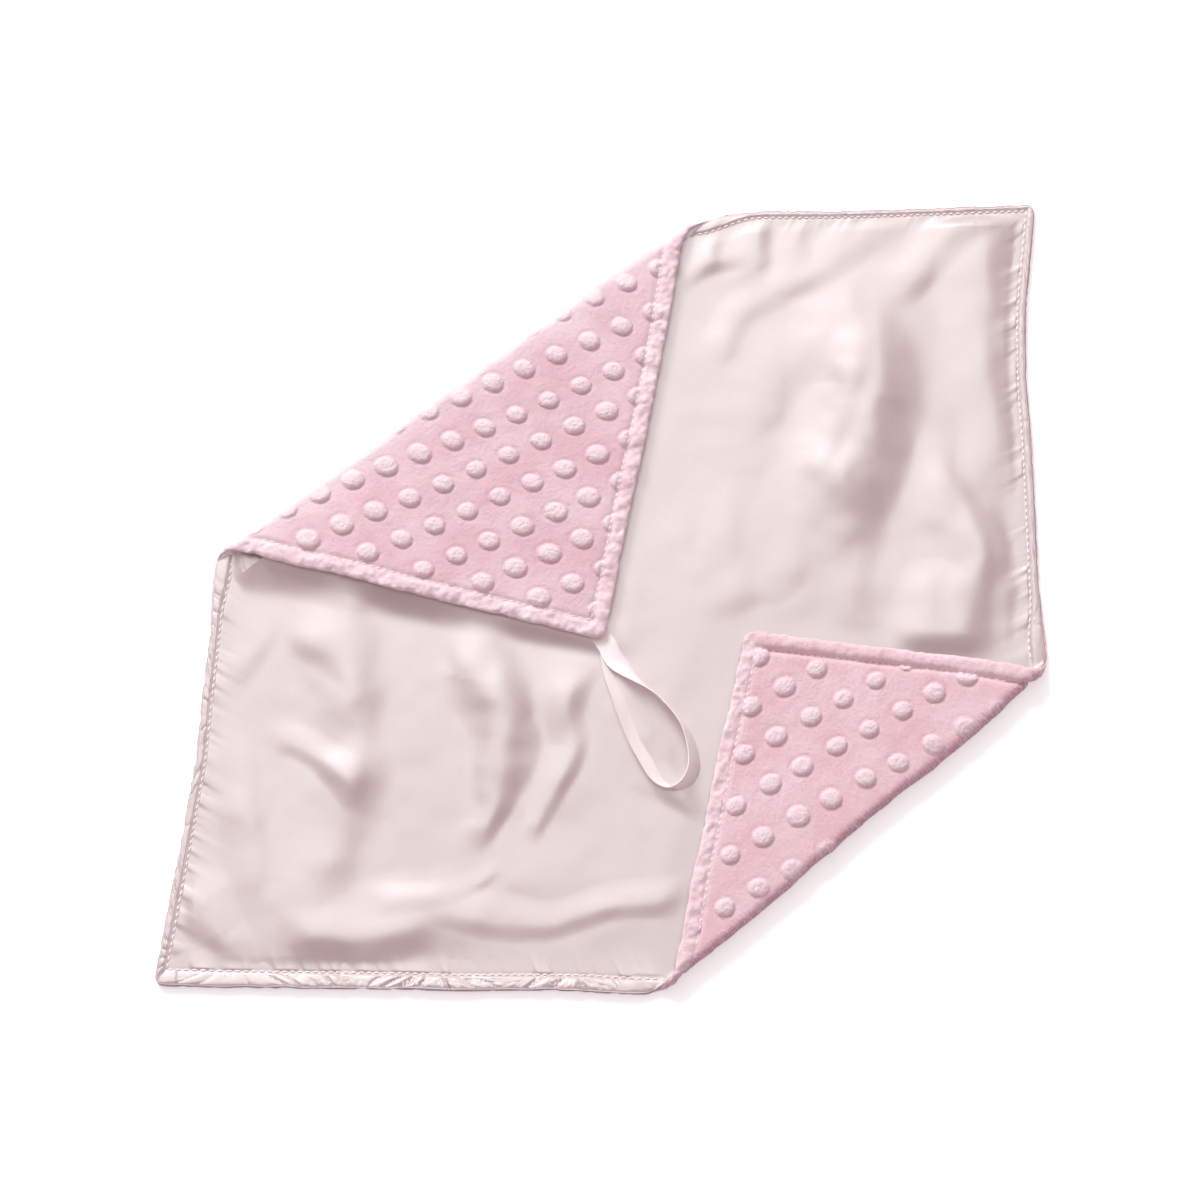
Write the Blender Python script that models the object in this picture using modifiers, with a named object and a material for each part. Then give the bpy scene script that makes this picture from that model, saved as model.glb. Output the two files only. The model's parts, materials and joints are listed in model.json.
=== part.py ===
"""A square comfort blanket: a satin front, a plush back and a ribbon loop, with two corners folded over.

The two panels are sewn into one square.  It lies satin side up, and two opposite corners are folded
over, so that they show the plush.  Each panel is a flat plan first.  The plan is cut along the two fold
lines and given its thickness.  Then every point is laid in place, on the middle of the blanket or
turned over a fold.  All sizes are in metres and +Z is up.
"""
import math

import bmesh
import bpy
from mathutils import Vector

# The cut square and the cloth
SIDE_LENGTH = 0.400
PLUSH = 0.0018
PLUSH_HEM = 0.0030
PLUSH_EDGE = 0.0020
SATIN = 0.0003
SATIN_HEM = 0.0006
LAYER_GAP = 0.0003

# The hem: its crown and its stitch line are measured in from the edge
HEM_CROWN = 0.0040
STITCH_LINE = 0.0080
SATIN_SETBACK = 0.0015
EDGE_ROUND = 0.0009
STITCH_DIP = 0.0003
CORNER_CUT = 0.0022
FIELD_CELLS = 24

# Places on the table, as shares of the side, with the blanket's middle at the origin
LOWER_LEFT_SHARES = (-0.532, -0.487)
UPPER_RIGHT_SHARES = (0.543, 0.496)
LEFT_BEND_SHARES = (-0.497, -0.200)
LEFT_FOLD_SHARES = (-0.476, 0.046)
TOP_FOLD_SHARES = (0.104, 0.470)
TOP_BEND_SHARES = (0.176, 0.487)
RIGHT_BEND_SHARES = (0.525, 0.280)
RIGHT_FOLD_SHARES = (0.534, -0.103)
BOTTOM_FOLD_SHARES = (0.071, -0.495)
LOOP_TIP_SHARES = (-0.002, -0.070)
PLAIN_TIP_SHARES = (0.169, -0.057)

# How far along each cut side the folds and the bends lie
LEFT_BEND_SHARE = 0.285
LEFT_FOLD_SHARE = 0.524
TOP_FOLD_SHARE = 0.542
TOP_BEND_SHARE = 0.620
RIGHT_FOLD_SHARE = 0.399
RIGHT_BEND_SHARE = 0.783
BOTTOM_FOLD_SHARE = 0.573

# The rolled nose of a fold, and how a folded corner settles
FOLD_RADIUS = 0.0045
FOLD_GAP = 0.0003
FOLD_CLEARANCE = 0.0002
SETTLE_DISTANCE = 0.030
CORNER_DROP = 0.0008
EDGE_RAISE = 0.0022
EDGE_RAISE_REACH = 0.035

# The ribbon
RIBBON_WIDTH = 0.0095
RIBBON_THICKNESS = 0.0003
RIBBON_GAP = 0.0003
RIBBON_TAIL = 0.0100
RIBBON_ROOT_REACH = 0.0078
TIP_ZONE = 0.0475
LOOP_REACH = 0.082
LOOP_LEAN = math.radians(50)
LOOP_TWIST_LENGTH = 0.024
LOOP_CELLS = 44
LOOP_SHARES = (
    (0.000, 0.000), (0.025, -0.110), (0.062, -0.300), (0.118, -0.518), (0.198, -0.668), (0.285, -0.800),
    (0.378, -0.850), (0.467, -0.810), (0.503, -0.690), (0.434, -0.494), (0.282, -0.331), (0.120, -0.200),
    (0.045, -0.095), (0.000, 0.000),
)

# Soft folds in the satin: the points of each crest as shares of the side, then its height and half width
FOLD_LOW = 0.0022
FOLD_HIGH = 0.0036
FOLD_SLIM = 0.0105
FOLD_WIDE = 0.0150
FOLD_EDGE_FADE = 0.022
CREST_SHARES = (
    ((0.115, 0.300), (0.215, 0.375), (0.290, 0.430)),
    ((0.340, 0.390), (0.400, 0.445)),
    ((0.325, 0.255), (0.300, 0.195), (0.280, 0.120)),
    ((0.470, 0.200), (0.445, 0.070), (0.420, -0.040)),
    ((-0.150, -0.140), (-0.135, -0.195), (-0.140, -0.255), (-0.160, -0.305)),
    ((-0.075, -0.155), (-0.055, -0.190), (-0.080, -0.245)),
    ((-0.310, -0.055), (-0.305, -0.185)),
    ((-0.400, -0.165), (-0.335, -0.225)),
    ((-0.230, -0.405), (-0.090, -0.415), (0.000, -0.400), (0.080, -0.375)),
    ((-0.470, -0.400), (-0.420, -0.440)),
)
CREST_SIZES = (
    (FOLD_HIGH, FOLD_SLIM), (FOLD_LOW, FOLD_SLIM), (FOLD_HIGH, FOLD_WIDE), (FOLD_LOW, FOLD_WIDE),
    (FOLD_HIGH, FOLD_SLIM), (FOLD_LOW, FOLD_SLIM), (FOLD_LOW, FOLD_WIDE), (FOLD_LOW, FOLD_SLIM),
    (FOLD_HIGH, FOLD_SLIM), (FOLD_LOW, FOLD_SLIM),
)

PLUSH_ROUGHNESS = 0.95
SATIN_ROUGHNESS = 0.32
RIBBON_ROUGHNESS = 0.35
PLUSH_COLOUR = (0.80, 0.58, 0.63, 1.0)
SATIN_COLOUR = (0.86, 0.76, 0.76, 1.0)
RIBBON_COLOUR = (0.84, 0.71, 0.71, 1.0)


def from_shares(shares):
    """A place on the table from its shares of the side."""
    return Vector((shares[0] * SIDE_LENGTH, shares[1] * SIDE_LENGTH))


def smooth(share):
    """Nought to one with a level start and end."""
    share = min(max(share, 0.0), 1.0)
    return share * share * (3.0 - 2.0 * share)


def along_points(points, share):
    """A point part of the way along a line of (share, point) pairs."""
    for (start, first), (end, second) in zip(points, points[1:]):
        if share <= end or end == points[-1][0]:
            return first.lerp(second, (share - start) / (end - start))


class Fold:
    """A straight fold line.  The middle of the blanket lies on its inner side."""

    def __init__(self, start, end):
        self.start = from_shares(start)
        self.end = from_shares(end)
        self.along = (self.end - self.start).normalized()
        self.inward = Vector((-self.along.y, self.along.x))
        if self.inward.dot(self.start) > 0.0:
            self.inward.negate()

    def depth(self, point):
        """How far a point of the plan lies inside the fold line; it is negative beyond it."""
        return (point - self.start).dot(self.inward)

    def mirrored(self, point):
        return point - 2.0 * self.depth(point) * self.inward

    def drawn_in(self, point, depth, reach):
        """The point beside the line that a point of the plan comes to lie on, by its distance."""
        foot = point - depth * self.inward
        return foot + reach * self.inward


LOOP_FOLD = Fold(LEFT_FOLD_SHARES, TOP_FOLD_SHARES)
PLAIN_FOLD = Fold(RIGHT_FOLD_SHARES, BOTTOM_FOLD_SHARES)

LOWER_LEFT = from_shares(LOWER_LEFT_SHARES)
UPPER_RIGHT = from_shares(UPPER_RIGHT_SHARES)
LOOP_TIP = from_shares(LOOP_TIP_SHARES)
PLAIN_TIP = from_shares(PLAIN_TIP_SHARES)
UPPER_LEFT = LOOP_FOLD.mirrored(LOOP_TIP)
LOWER_RIGHT = PLAIN_FOLD.mirrored(PLAIN_TIP)

LEFT_SIDE = (
    (0.0, LOWER_LEFT), (LEFT_BEND_SHARE, from_shares(LEFT_BEND_SHARES)),
    (LEFT_FOLD_SHARE, LOOP_FOLD.start), (1.0, UPPER_LEFT),
)
RIGHT_SIDE = (
    (0.0, LOWER_RIGHT), (RIGHT_FOLD_SHARE, PLAIN_FOLD.start),
    (RIGHT_BEND_SHARE, from_shares(RIGHT_BEND_SHARES)), (1.0, UPPER_RIGHT),
)
BOTTOM_SIDE = ((0.0, LOWER_LEFT), (BOTTOM_FOLD_SHARE, PLAIN_FOLD.end), (1.0, LOWER_RIGHT))
TOP_SIDE = (
    (0.0, UPPER_LEFT), (TOP_FOLD_SHARE, LOOP_FOLD.end),
    (TOP_BEND_SHARE, from_shares(TOP_BEND_SHARES)), (1.0, UPPER_RIGHT),
)

NOSE_LENGTH = 0.5 * math.pi * FOLD_RADIUS
CORNER_TOP = 2.0 * FOLD_RADIUS
TAIL_STACK = 2.0 * RIBBON_THICKNESS + 2.0 * RIBBON_GAP


def plan_point(across, up):
    """The unfolded blanket on the table: a patch blended between its four sides."""
    bottom = along_points(BOTTOM_SIDE, across)
    top = along_points(TOP_SIDE, across)
    left = along_points(LEFT_SIDE, up)
    right = along_points(RIGHT_SIDE, up)
    corners = LOWER_LEFT.lerp(LOWER_RIGHT, across).lerp(UPPER_LEFT.lerp(UPPER_RIGHT, across), up)
    return bottom.lerp(top, up) + left.lerp(right, across) - corners


def grid_rows(setback):
    """The distances of the grid rows from one side of the cut square to the other."""
    near = [setback, HEM_CROWN, STITCH_LINE]
    cell = (SIDE_LENGTH - 2.0 * STITCH_LINE) / FIELD_CELLS
    field = [STITCH_LINE + cell * number for number in range(1, FIELD_CELLS)]
    return near + field + [SIDE_LENGTH - distance for distance in reversed(near)]


def flat_plan(setback, fold, beyond):
    """One panel's plan as a flat mesh, cut at the folds.  Its corners are a little rounded.

    With fold set, only the corner beyond it is kept when beyond is true.  Otherwise both corners
    are cut away and the middle stays.
    """
    rows = grid_rows(setback)
    last = len(rows) - 1
    mesh = bmesh.new()
    bmesh.ops.create_grid(mesh, x_segments=last, y_segments=last, size=0.5)
    across_layer = mesh.verts.layers.float.new("across")
    up_layer = mesh.verts.layers.float.new("up")
    for vert in mesh.verts:
        across = rows[round((vert.co.x + 0.5) * last)]
        up = rows[round((vert.co.y + 0.5) * last)]
        shift_x = shift_y = 0.0
        if min(across, SIDE_LENGTH - across) == setback and min(up, SIDE_LENGTH - up) == setback:
            shift_x = CORNER_CUT if across < 0.5 * SIDE_LENGTH else -CORNER_CUT
            shift_y = CORNER_CUT if up < 0.5 * SIDE_LENGTH else -CORNER_CUT
        vert[across_layer] = across
        vert[up_layer] = up
        vert.co.xy = plan_point((across + shift_x) / SIDE_LENGTH, (up + shift_y) / SIDE_LENGTH)
    cuts = [fold] if beyond else [LOOP_FOLD, PLAIN_FOLD]
    for line in cuts:
        outward = Vector((-line.inward.x, -line.inward.y, 0.0))
        side = -1.0 if beyond else 1.0
        for depth in (0.0, 0.5 * NOSE_LENGTH, NOSE_LENGTH, SETTLE_DISTANCE):
            place = line.start + side * depth * line.inward
            at_fold = depth == 0.0
            bmesh.ops.bisect_plane(
                mesh, geom=mesh.verts[:] + mesh.edges[:] + mesh.faces[:], plane_co=(place.x, place.y, 0.0),
                plane_no=outward, clear_outer=at_fold and not beyond, clear_inner=at_fold and beyond,
            )
    bmesh.ops.triangulate(mesh, faces=mesh.faces[:], quad_method="FIXED", ngon_method="EAR_CLIP")
    return mesh, across_layer, up_layer


def edge_distance(across, up):
    return min(across, SIDE_LENGTH - across, up, SIDE_LENGTH - up)


def tip_share(across, up):
    """One where the ribbon's tails lie in the seam, and nought away from that corner."""
    distance = math.hypot(across, SIDE_LENGTH - up)
    return 1.0 - smooth((distance - TIP_ZONE) / TIP_ZONE)


def stepped(distance, edge, crown, field):
    """A height that runs from the edge over the hem's crown to the stitch line."""
    if distance < HEM_CROWN:
        return edge + (crown - edge) * distance / HEM_CROWN
    if distance < STITCH_LINE:
        return crown + (field - crown) * (distance - HEM_CROWN) / (STITCH_LINE - HEM_CROWN)
    return field


def plush_levels(across, up, corner):
    """Levels of the plush panel's outer and inner face, counted from its outer face."""
    distance = edge_distance(across, up)
    outer = stepped(distance, EDGE_ROUND, 0.0, 0.0)
    if corner and distance >= HEM_CROWN:
        outer = STITCH_DIP * (1.0 - smooth(abs(distance - STITCH_LINE) / HEM_CROWN))
    inner = stepped(distance, PLUSH_EDGE, PLUSH_HEM, PLUSH)
    if corner is LOOP_FOLD:
        inner += (PLUSH_HEM - inner) * tip_share(across, up)
    return outer, inner


def satin_levels(across, up, corner):
    """Levels of the satin panel's inner and outer face, counted like the plush panel's."""
    distance = edge_distance(across, up)
    inner = plush_levels(across, up, corner)[1] + LAYER_GAP
    if corner is LOOP_FOLD:
        inner += TAIL_STACK * tip_share(across, up)
    return inner, inner + (SATIN_HEM if distance <= STITCH_LINE else SATIN)


def fold_lift(point, distance):
    """How high the soft folds lift the satin at a point of the middle."""
    lift = 0.0
    for crest, (height, half_width) in zip(CREST_SHARES, CREST_SIZES):
        places = [from_shares(shares) for shares in crest]
        nearest = min(segment_distance(point, a, b) for a, b in zip(places, places[1:]))
        lift = max(lift, height * math.exp(-((nearest / half_width) ** 2)))
    clear = min(LOOP_FOLD.depth(point), PLAIN_FOLD.depth(point)) - SETTLE_DISTANCE
    covered = min(smooth(corner_distance(point) / FOLD_EDGE_FADE), smooth(clear / FOLD_EDGE_FADE))
    return lift * smooth((distance - STITCH_LINE) / FOLD_EDGE_FADE) * covered


def segment_distance(point, start, end):
    line = end - start
    share = min(max((point - start).dot(line) / line.length_squared, 0.0), 1.0)
    return (point - start - share * line).length


def corner_distance(point):
    """How far a point of the middle lies outside the two folded corners; nought under them."""
    return min(outside_corner(point, LOOP_FOLD, LOOP_TIP), outside_corner(point, PLAIN_FOLD, PLAIN_TIP))


def outside_corner(point, fold, tip):
    """The distance from a point to the triangle that a folded corner covers."""
    corners = (fold.start, fold.end, tip)
    turns = [cross(b - a, point - a) for a, b in zip(corners, corners[1:] + corners[:1])]
    if min(turns) >= 0.0 or max(turns) <= 0.0:
        return 0.0
    return min(segment_distance(point, a, b) for a, b in zip(corners, corners[1:] + corners[:1]))


def cross(first, second):
    return first.x * second.y - first.y * second.x


def reach_from_fold(depth, level):
    """How far in from the fold's outermost line a layer lies, by its distance along the cloth."""
    if depth < NOSE_LENGTH:
        angle = depth / FOLD_RADIUS
        return FOLD_CLEARANCE + FOLD_RADIUS - (FOLD_RADIUS - level) * math.cos(angle)
    inner = FOLD_CLEARANCE + FOLD_RADIUS
    if depth < SETTLE_DISTANCE:
        return inner + (depth - NOSE_LENGTH) * (SETTLE_DISTANCE - inner) / (SETTLE_DISTANCE - NOSE_LENGTH)
    return depth


def lay_middle(point, level, lift):
    """A point of the middle: flat on the table, and curving up to each fold."""
    fold = LOOP_FOLD if LOOP_FOLD.depth(point) < PLAIN_FOLD.depth(point) else PLAIN_FOLD
    depth = fold.depth(point)
    place = fold.drawn_in(point, depth, reach_from_fold(depth, level))
    height = level + lift
    if depth < NOSE_LENGTH:
        split = FOLD_RADIUS - 0.5 * FOLD_GAP
        height = split - (split - level) * math.sin(depth / FOLD_RADIUS)
    return Vector((place.x, place.y, height))


def corner_height(fold, depth, across, up):
    """Height of a folded corner's plush face: high at the nose, lower where it has settled."""
    share = smooth((depth - NOSE_LENGTH) / (2.0 * SETTLE_DISTANCE))
    height = CORNER_TOP - CORNER_DROP * share
    if fold is LOOP_FOLD:
        from_side = across
        from_fold = up / SIDE_LENGTH - LEFT_FOLD_SHARE
        toward_tip = smooth(1.0 - from_fold / (1.0 - LEFT_FOLD_SHARE))
        height += EDGE_RAISE * math.exp(-from_side / EDGE_RAISE_REACH) * toward_tip * share
    return height


def lay_corner(fold, point, level, across, up):
    """A point of a folded corner: turned over the fold, with the plush on top."""
    depth = -fold.depth(point)
    place = fold.drawn_in(point, -depth, reach_from_fold(depth, level))
    if depth < NOSE_LENGTH:
        split = FOLD_RADIUS + 0.5 * FOLD_GAP
        height = split + (CORNER_TOP - split - level) * math.sin(depth / FOLD_RADIUS)
    else:
        height = corner_height(fold, depth, across, up) - level
    return Vector((place.x, place.y, height))


def panel(name, levels, setback, fold, colour, roughness, lifted):
    """One panel's piece: the flat plan, doubled into two faces with a rim, then laid in place."""
    mesh, across_layer, up_layer = flat_plan(setback, fold, fold is not None)
    lower = set(mesh.verts)
    bmesh.ops.extrude_face_region(mesh, geom=mesh.faces[:], use_keep_orig=True)
    for vert in mesh.verts:
        across, up = vert[across_layer], vert[up_layer]
        low, high = levels(across, up, fold)
        level = low if vert in lower else high
        point = vert.co.xy.copy()
        if fold is None:
            lift = fold_lift(point, edge_distance(across, up)) if lifted else 0.0
            vert.co = lay_middle(point, level, lift)
        else:
            vert.co = lay_corner(fold, point, level, across, up)
    return finished(name, mesh, colour, roughness)


class RibbonRoot:
    """Where the ribbon leaves the seam: at the tip, along the line that halves the corner."""

    def __init__(self):
        edges = (LOOP_FOLD.start - LOOP_TIP).normalized() + (LOOP_FOLD.end - LOOP_TIP).normalized()
        self.outward = -edges.normalized()
        self.sideways = Vector((self.outward.y, -self.outward.x))
        # a right-angled corner is as wide as the ribbon at half the ribbon's width from the tip
        self.place = LOOP_TIP - 0.5 * RIBBON_WIDTH * self.outward
        step = RIBBON_THICKNESS + RIBBON_GAP
        self.upper = CORNER_TOP - CORNER_DROP - PLUSH_HEM - RIBBON_GAP - 0.5 * RIBBON_THICKNESS
        self.lower = self.upper - step
        bend = self.place + (RIBBON_ROOT_REACH + 0.5 * RIBBON_GAP) * self.outward
        self.hinge = Vector((bend.x, bend.y, self.upper + 0.5 * RIBBON_THICKNESS))
        self.loop_start = bend + 0.5 * RIBBON_GAP * self.outward


def smooth_line(points, share):
    """A point on the curve through the points, by Catmull and Rom's formula."""
    spans = len(points) - 1
    span = min(int(share * spans), spans - 1)
    rest = share * spans - span
    before, start = points[max(span - 1, 0)], points[span]
    end, after = points[span + 1], points[min(span + 2, spans)]
    easing = 2.0 * before - 5.0 * start + 4.0 * end - after
    bending = 3.0 * start - before - 3.0 * end + after
    return start + 0.5 * ((end - before) * rest + easing * rest ** 2 + bending * rest ** 3)


def ribbon_loop(root):
    """The free loop: one flat strip that turns on edge, leans, and comes back to the seam."""
    flat_width = Vector((root.sideways.x, root.sideways.y, 0.0))
    leaning_width = Vector((-math.cos(LOOP_LEAN), 0.0, math.sin(LOOP_LEAN)))
    resting = PLUSH + LAYER_GAP + SATIN + RIBBON_GAP
    leaning_height = resting + 0.5 * (RIBBON_WIDTH * leaning_width.z + RIBBON_THICKNESS)
    route = [root.loop_start + LOOP_REACH * Vector(shares) for shares in LOOP_SHARES]
    middle = [smooth_line(route, number / LOOP_CELLS) for number in range(LOOP_CELLS + 1)]
    travelled = [0.0]
    for first, second in zip(middle, middle[1:]):
        travelled.append(travelled[-1] + (second - first).length)
    mesh = bmesh.new()
    bmesh.ops.create_grid(mesh, x_segments=LOOP_CELLS, y_segments=1, size=0.5)
    for vert in mesh.verts:
        number = round((vert.co.x + 0.5) * LOOP_CELLS)
        from_seam = min(travelled[number], travelled[-1] - travelled[number])
        turned = smooth(from_seam / LOOP_TWIST_LENGTH)
        seam_height = root.lower if 2 * number < LOOP_CELLS else root.upper
        width = flat_width.slerp(leaning_width, turned)
        height = seam_height + (leaning_height - seam_height) * turned
        centre = Vector((middle[number].x, middle[number].y, height))
        vert.co = centre + vert.co.y * RIBBON_WIDTH * width
    made = finished("ribbon_loop", mesh, RIBBON_COLOUR, RIBBON_ROUGHNESS)
    wall = made.modifiers.new("Ribbon thickness", "SOLIDIFY")
    wall.thickness = RIBBON_THICKNESS
    wall.offset = 0.0
    return made


def ribbon_tail(root, name, height):
    """One sewn end of the ribbon: flat between the two panels, from the seam's inside to the bend."""
    mesh = bmesh.new()
    bmesh.ops.create_cube(mesh, size=1.0)
    length = RIBBON_TAIL + RIBBON_ROOT_REACH
    centre = root.place + (RIBBON_ROOT_REACH - 0.5 * length) * root.outward
    for vert in mesh.verts:
        place = centre + vert.co.x * RIBBON_WIDTH * root.sideways + vert.co.y * length * root.outward
        vert.co = Vector((place.x, place.y, height + vert.co.z * RIBBON_THICKNESS))
    return finished(name, mesh, RIBBON_COLOUR, RIBBON_ROUGHNESS)


def finished(name, mesh, colour, roughness):
    """The mesh as a named object with its own material."""
    data = bpy.data.meshes.new(name)
    mesh.to_mesh(data)
    mesh.free()
    data.shade_smooth()
    made = bpy.data.objects.new(name, data)
    PARTS.objects.link(made)
    material = bpy.data.materials.new(name)
    material.use_nodes = True
    shader = material.node_tree.nodes["Principled BSDF"]
    shader.inputs["Base Color"].default_value = colour
    shader.inputs["Roughness"].default_value = roughness
    shader.inputs["Metallic"].default_value = 0.0
    material.diffuse_color = colour
    data.materials.append(material)
    return made


def hinge_empty(name, place, along, carried):
    """An empty on the joint's axis, its X along the axis, with the moving pieces under it."""
    empty = bpy.data.objects.new(name, None)
    PARTS.objects.link(empty)
    empty.empty_display_size = RIBBON_WIDTH
    empty.location = place
    empty.rotation_euler = along.to_track_quat("X", "Z").to_euler()
    bpy.context.view_layer.update()
    for piece in carried:
        piece.parent = empty
        piece.matrix_parent_inverse = empty.matrix_world.inverted()
    print(name, "at", [round(value, 5) for value in empty.matrix_world.translation],
          "along", [round(value, 5) for value in along])
    return empty


def centre_on_origin(pieces):
    """Moves every piece so that the blanket's box stands on the origin; returns the shift."""
    corners = [vert.co for piece in pieces for vert in piece.data.vertices]
    low = Vector([min(corner[axis] for corner in corners) for axis in range(3)])
    high = Vector([max(corner[axis] for corner in corners) for axis in range(3)])
    shift = Vector((-0.5 * (low.x + high.x), -0.5 * (low.y + high.y), -low.z))
    for piece in pieces:
        for vert in piece.data.vertices:
            vert.co += shift
    return shift


def main():
    for old in list(bpy.data.objects):
        bpy.data.objects.remove(old, do_unlink=True)
    bpy.context.scene.collection.children.link(PARTS)
    bodies = {}
    for body, fold in (("centre", None), ("loop_corner", LOOP_FOLD), ("plain_corner", PLAIN_FOLD)):
        bodies[body] = [
            panel("plush_" + body, plush_levels, 0.0, fold, PLUSH_COLOUR, PLUSH_ROUGHNESS, False),
            panel("satin_" + body, satin_levels, SATIN_SETBACK, fold, SATIN_COLOUR, SATIN_ROUGHNESS, True),
        ]
    root = RibbonRoot()
    bodies["loop_corner"].append(ribbon_tail(root, "ribbon_tail_upper", root.upper))
    bodies["loop_corner"].append(ribbon_tail(root, "ribbon_tail_lower", root.lower))
    bodies["ribbon"] = [ribbon_loop(root)]
    shift = centre_on_origin([piece for pieces in bodies.values() for piece in pieces])
    print("shift", [round(value, 5) for value in shift])
    upward = Vector((0.0, 0.0, 1.0))
    for body, fold in (("loop_corner", LOOP_FOLD), ("plain_corner", PLAIN_FOLD)):
        inward = Vector((fold.inward.x, fold.inward.y, 0.0))
        place = Vector((*fold.start.lerp(fold.end, 0.5), FOLD_RADIUS)) + shift
        hinge_empty(body + "_hinge", place, inward.cross(upward), bodies[body])
    outward = Vector((root.outward.x, root.outward.y, 0.0))
    ribbon_hinge = hinge_empty("ribbon_hinge", root.hinge + shift, outward.cross(upward), bodies["ribbon"])
    ribbon_hinge.parent = bpy.data.objects["loop_corner_hinge"]
    ribbon_hinge.matrix_parent_inverse = ribbon_hinge.parent.matrix_world.inverted()


PARTS = bpy.data.collections.new("comfort_blanket")
main()
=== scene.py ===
# %% [markdown]
# # A folded comfort blanket
#
# The real blanket is two squares of cloth: pale satin in front and dimple plush behind.  They are sewn
# edge to edge, turned, and topstitched near the edge.  Here it lies satin side up, and two opposite
# corners are folded over, so their plush shows.  A ribbon loop sticks out of one corner.
#
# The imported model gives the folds, the hinges and the sizes.  This lesson dresses it: every cloth is
# worked out with numpy as a function of the two measures of the cut square, and then put in place.

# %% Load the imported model
import json
import math

import bmesh
import bpy
import numpy as np
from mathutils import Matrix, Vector


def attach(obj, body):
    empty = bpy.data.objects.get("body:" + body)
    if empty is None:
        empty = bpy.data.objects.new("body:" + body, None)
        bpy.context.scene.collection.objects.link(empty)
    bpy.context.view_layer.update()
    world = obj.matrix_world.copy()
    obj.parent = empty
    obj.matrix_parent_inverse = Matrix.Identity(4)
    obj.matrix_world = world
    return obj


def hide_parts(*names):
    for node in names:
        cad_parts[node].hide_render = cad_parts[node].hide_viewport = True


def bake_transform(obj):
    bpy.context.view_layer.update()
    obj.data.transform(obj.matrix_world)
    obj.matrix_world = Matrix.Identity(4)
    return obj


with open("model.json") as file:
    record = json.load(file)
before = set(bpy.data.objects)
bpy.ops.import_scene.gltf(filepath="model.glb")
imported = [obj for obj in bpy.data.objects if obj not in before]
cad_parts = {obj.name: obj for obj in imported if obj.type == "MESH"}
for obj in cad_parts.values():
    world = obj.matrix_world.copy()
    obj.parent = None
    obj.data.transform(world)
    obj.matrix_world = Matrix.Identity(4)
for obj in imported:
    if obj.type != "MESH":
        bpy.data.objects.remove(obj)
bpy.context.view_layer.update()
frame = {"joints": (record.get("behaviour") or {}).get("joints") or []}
joints = {joint["name"]: joint for joint in frame["joints"]}

# %% [markdown]
# ## The cut square and where it lies
#
# A sewn blanket starts as a flat square, so the first thing to write down is the square's side and the
# places that its corners and folds come to on the table.  They are shares of the side.  The straight
# fold lines and the rolled fold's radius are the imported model's own, because the hinges lie there.

# %% Sizes of the cut square
MM = 0.001
SIDE = 400 * MM
STITCH_LINE = 8 * MM
FOLD_RADIUS = 4.5 * MM
FOLD_CLEARANCE = 0.2 * MM
NOSE = 0.5 * math.pi * FOLD_RADIUS
SETTLE = 30 * MM


def spot(right, away):
    """A place on the table from its shares of the side."""
    return SIDE * np.array([right, away])


LOWER_LEFT, UPPER_RIGHT = spot(-0.536, -0.489), spot(0.543, 0.4995)
LEFT_BEND, LEFT_FOLD = spot(-0.494, -0.200), spot(-0.476, 0.046)
TOP_FOLD, TOP_BEND = spot(0.104, 0.470), spot(0.176, 0.487)
RIGHT_BEND, RIGHT_DIP, RIGHT_FOLD = spot(0.525, 0.280), spot(0.5285, 0.370), spot(0.534, -0.103)
BOTTOM_FOLD = spot(0.071, -0.495)
LOOP_TIP, PLAIN_TIP = spot(-0.002, -0.070), spot(0.169, -0.057)

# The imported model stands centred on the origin, and its hinge says how far it was moved.
SHIFT = np.array(joints["loop_corner_fold"]["pos_m"][:2]) - 0.5 * (LEFT_FOLD + TOP_FOLD)
print("the model was centred by", np.round(SHIFT / MM, 2), "mm")


# %% The two fold lines
class FoldLine:
    """A straight fold: its two ends, the direction along it, and the direction into the blanket."""

    def __init__(self, start, end):
        self.start, self.length = start, np.linalg.norm(end - start)
        self.along = (end - start) / self.length
        self.inward = np.array([-self.along[1], self.along[0]])
        if self.inward @ (start - SHIFT) > 0:
            self.inward = -self.inward

    def depth(self, places):
        """Distance inside the line; it is negative beyond it."""
        return (places - self.start) @ self.inward

    def mirrored(self, place):
        """The place as far beyond the line as it was inside."""
        return place - 2 * self.depth(place) * self.inward


LOOP_FOLD = FoldLine(LEFT_FOLD + SHIFT, TOP_FOLD + SHIFT)
PLAIN_FOLD = FoldLine(RIGHT_FOLD + SHIFT, BOTTOM_FOLD + SHIFT)
UPPER_LEFT = LOOP_FOLD.mirrored(LOOP_TIP + SHIFT) - SHIFT
LOWER_RIGHT = PLAIN_FOLD.mirrored(PLAIN_TIP + SHIFT) - SHIFT
print("folds are", round(LOOP_FOLD.length, 3), "and", round(PLAIN_FOLD.length, 3), "m long")


def fold_depth(flat):
    """Distance inside the nearer fold line; it is negative in the folded corners."""
    return np.minimum(LOOP_FOLD.depth(flat), PLAIN_FOLD.depth(flat))

# %% [markdown]
# ## Soft numbers
#
# Cloth is never regular.  Two small helpers are used all through: a step with soft ends, and smooth
# random bumps.  The bumps come from a seeded table, so every run gives the same blanket.


# %% A soft step and smooth random bumps
def soft_step(share):
    """Three times the square less twice the cube, held between nought and one."""
    share = np.clip(share, 0.0, 1.0)
    return share * share * (3 - 2 * share)


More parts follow.
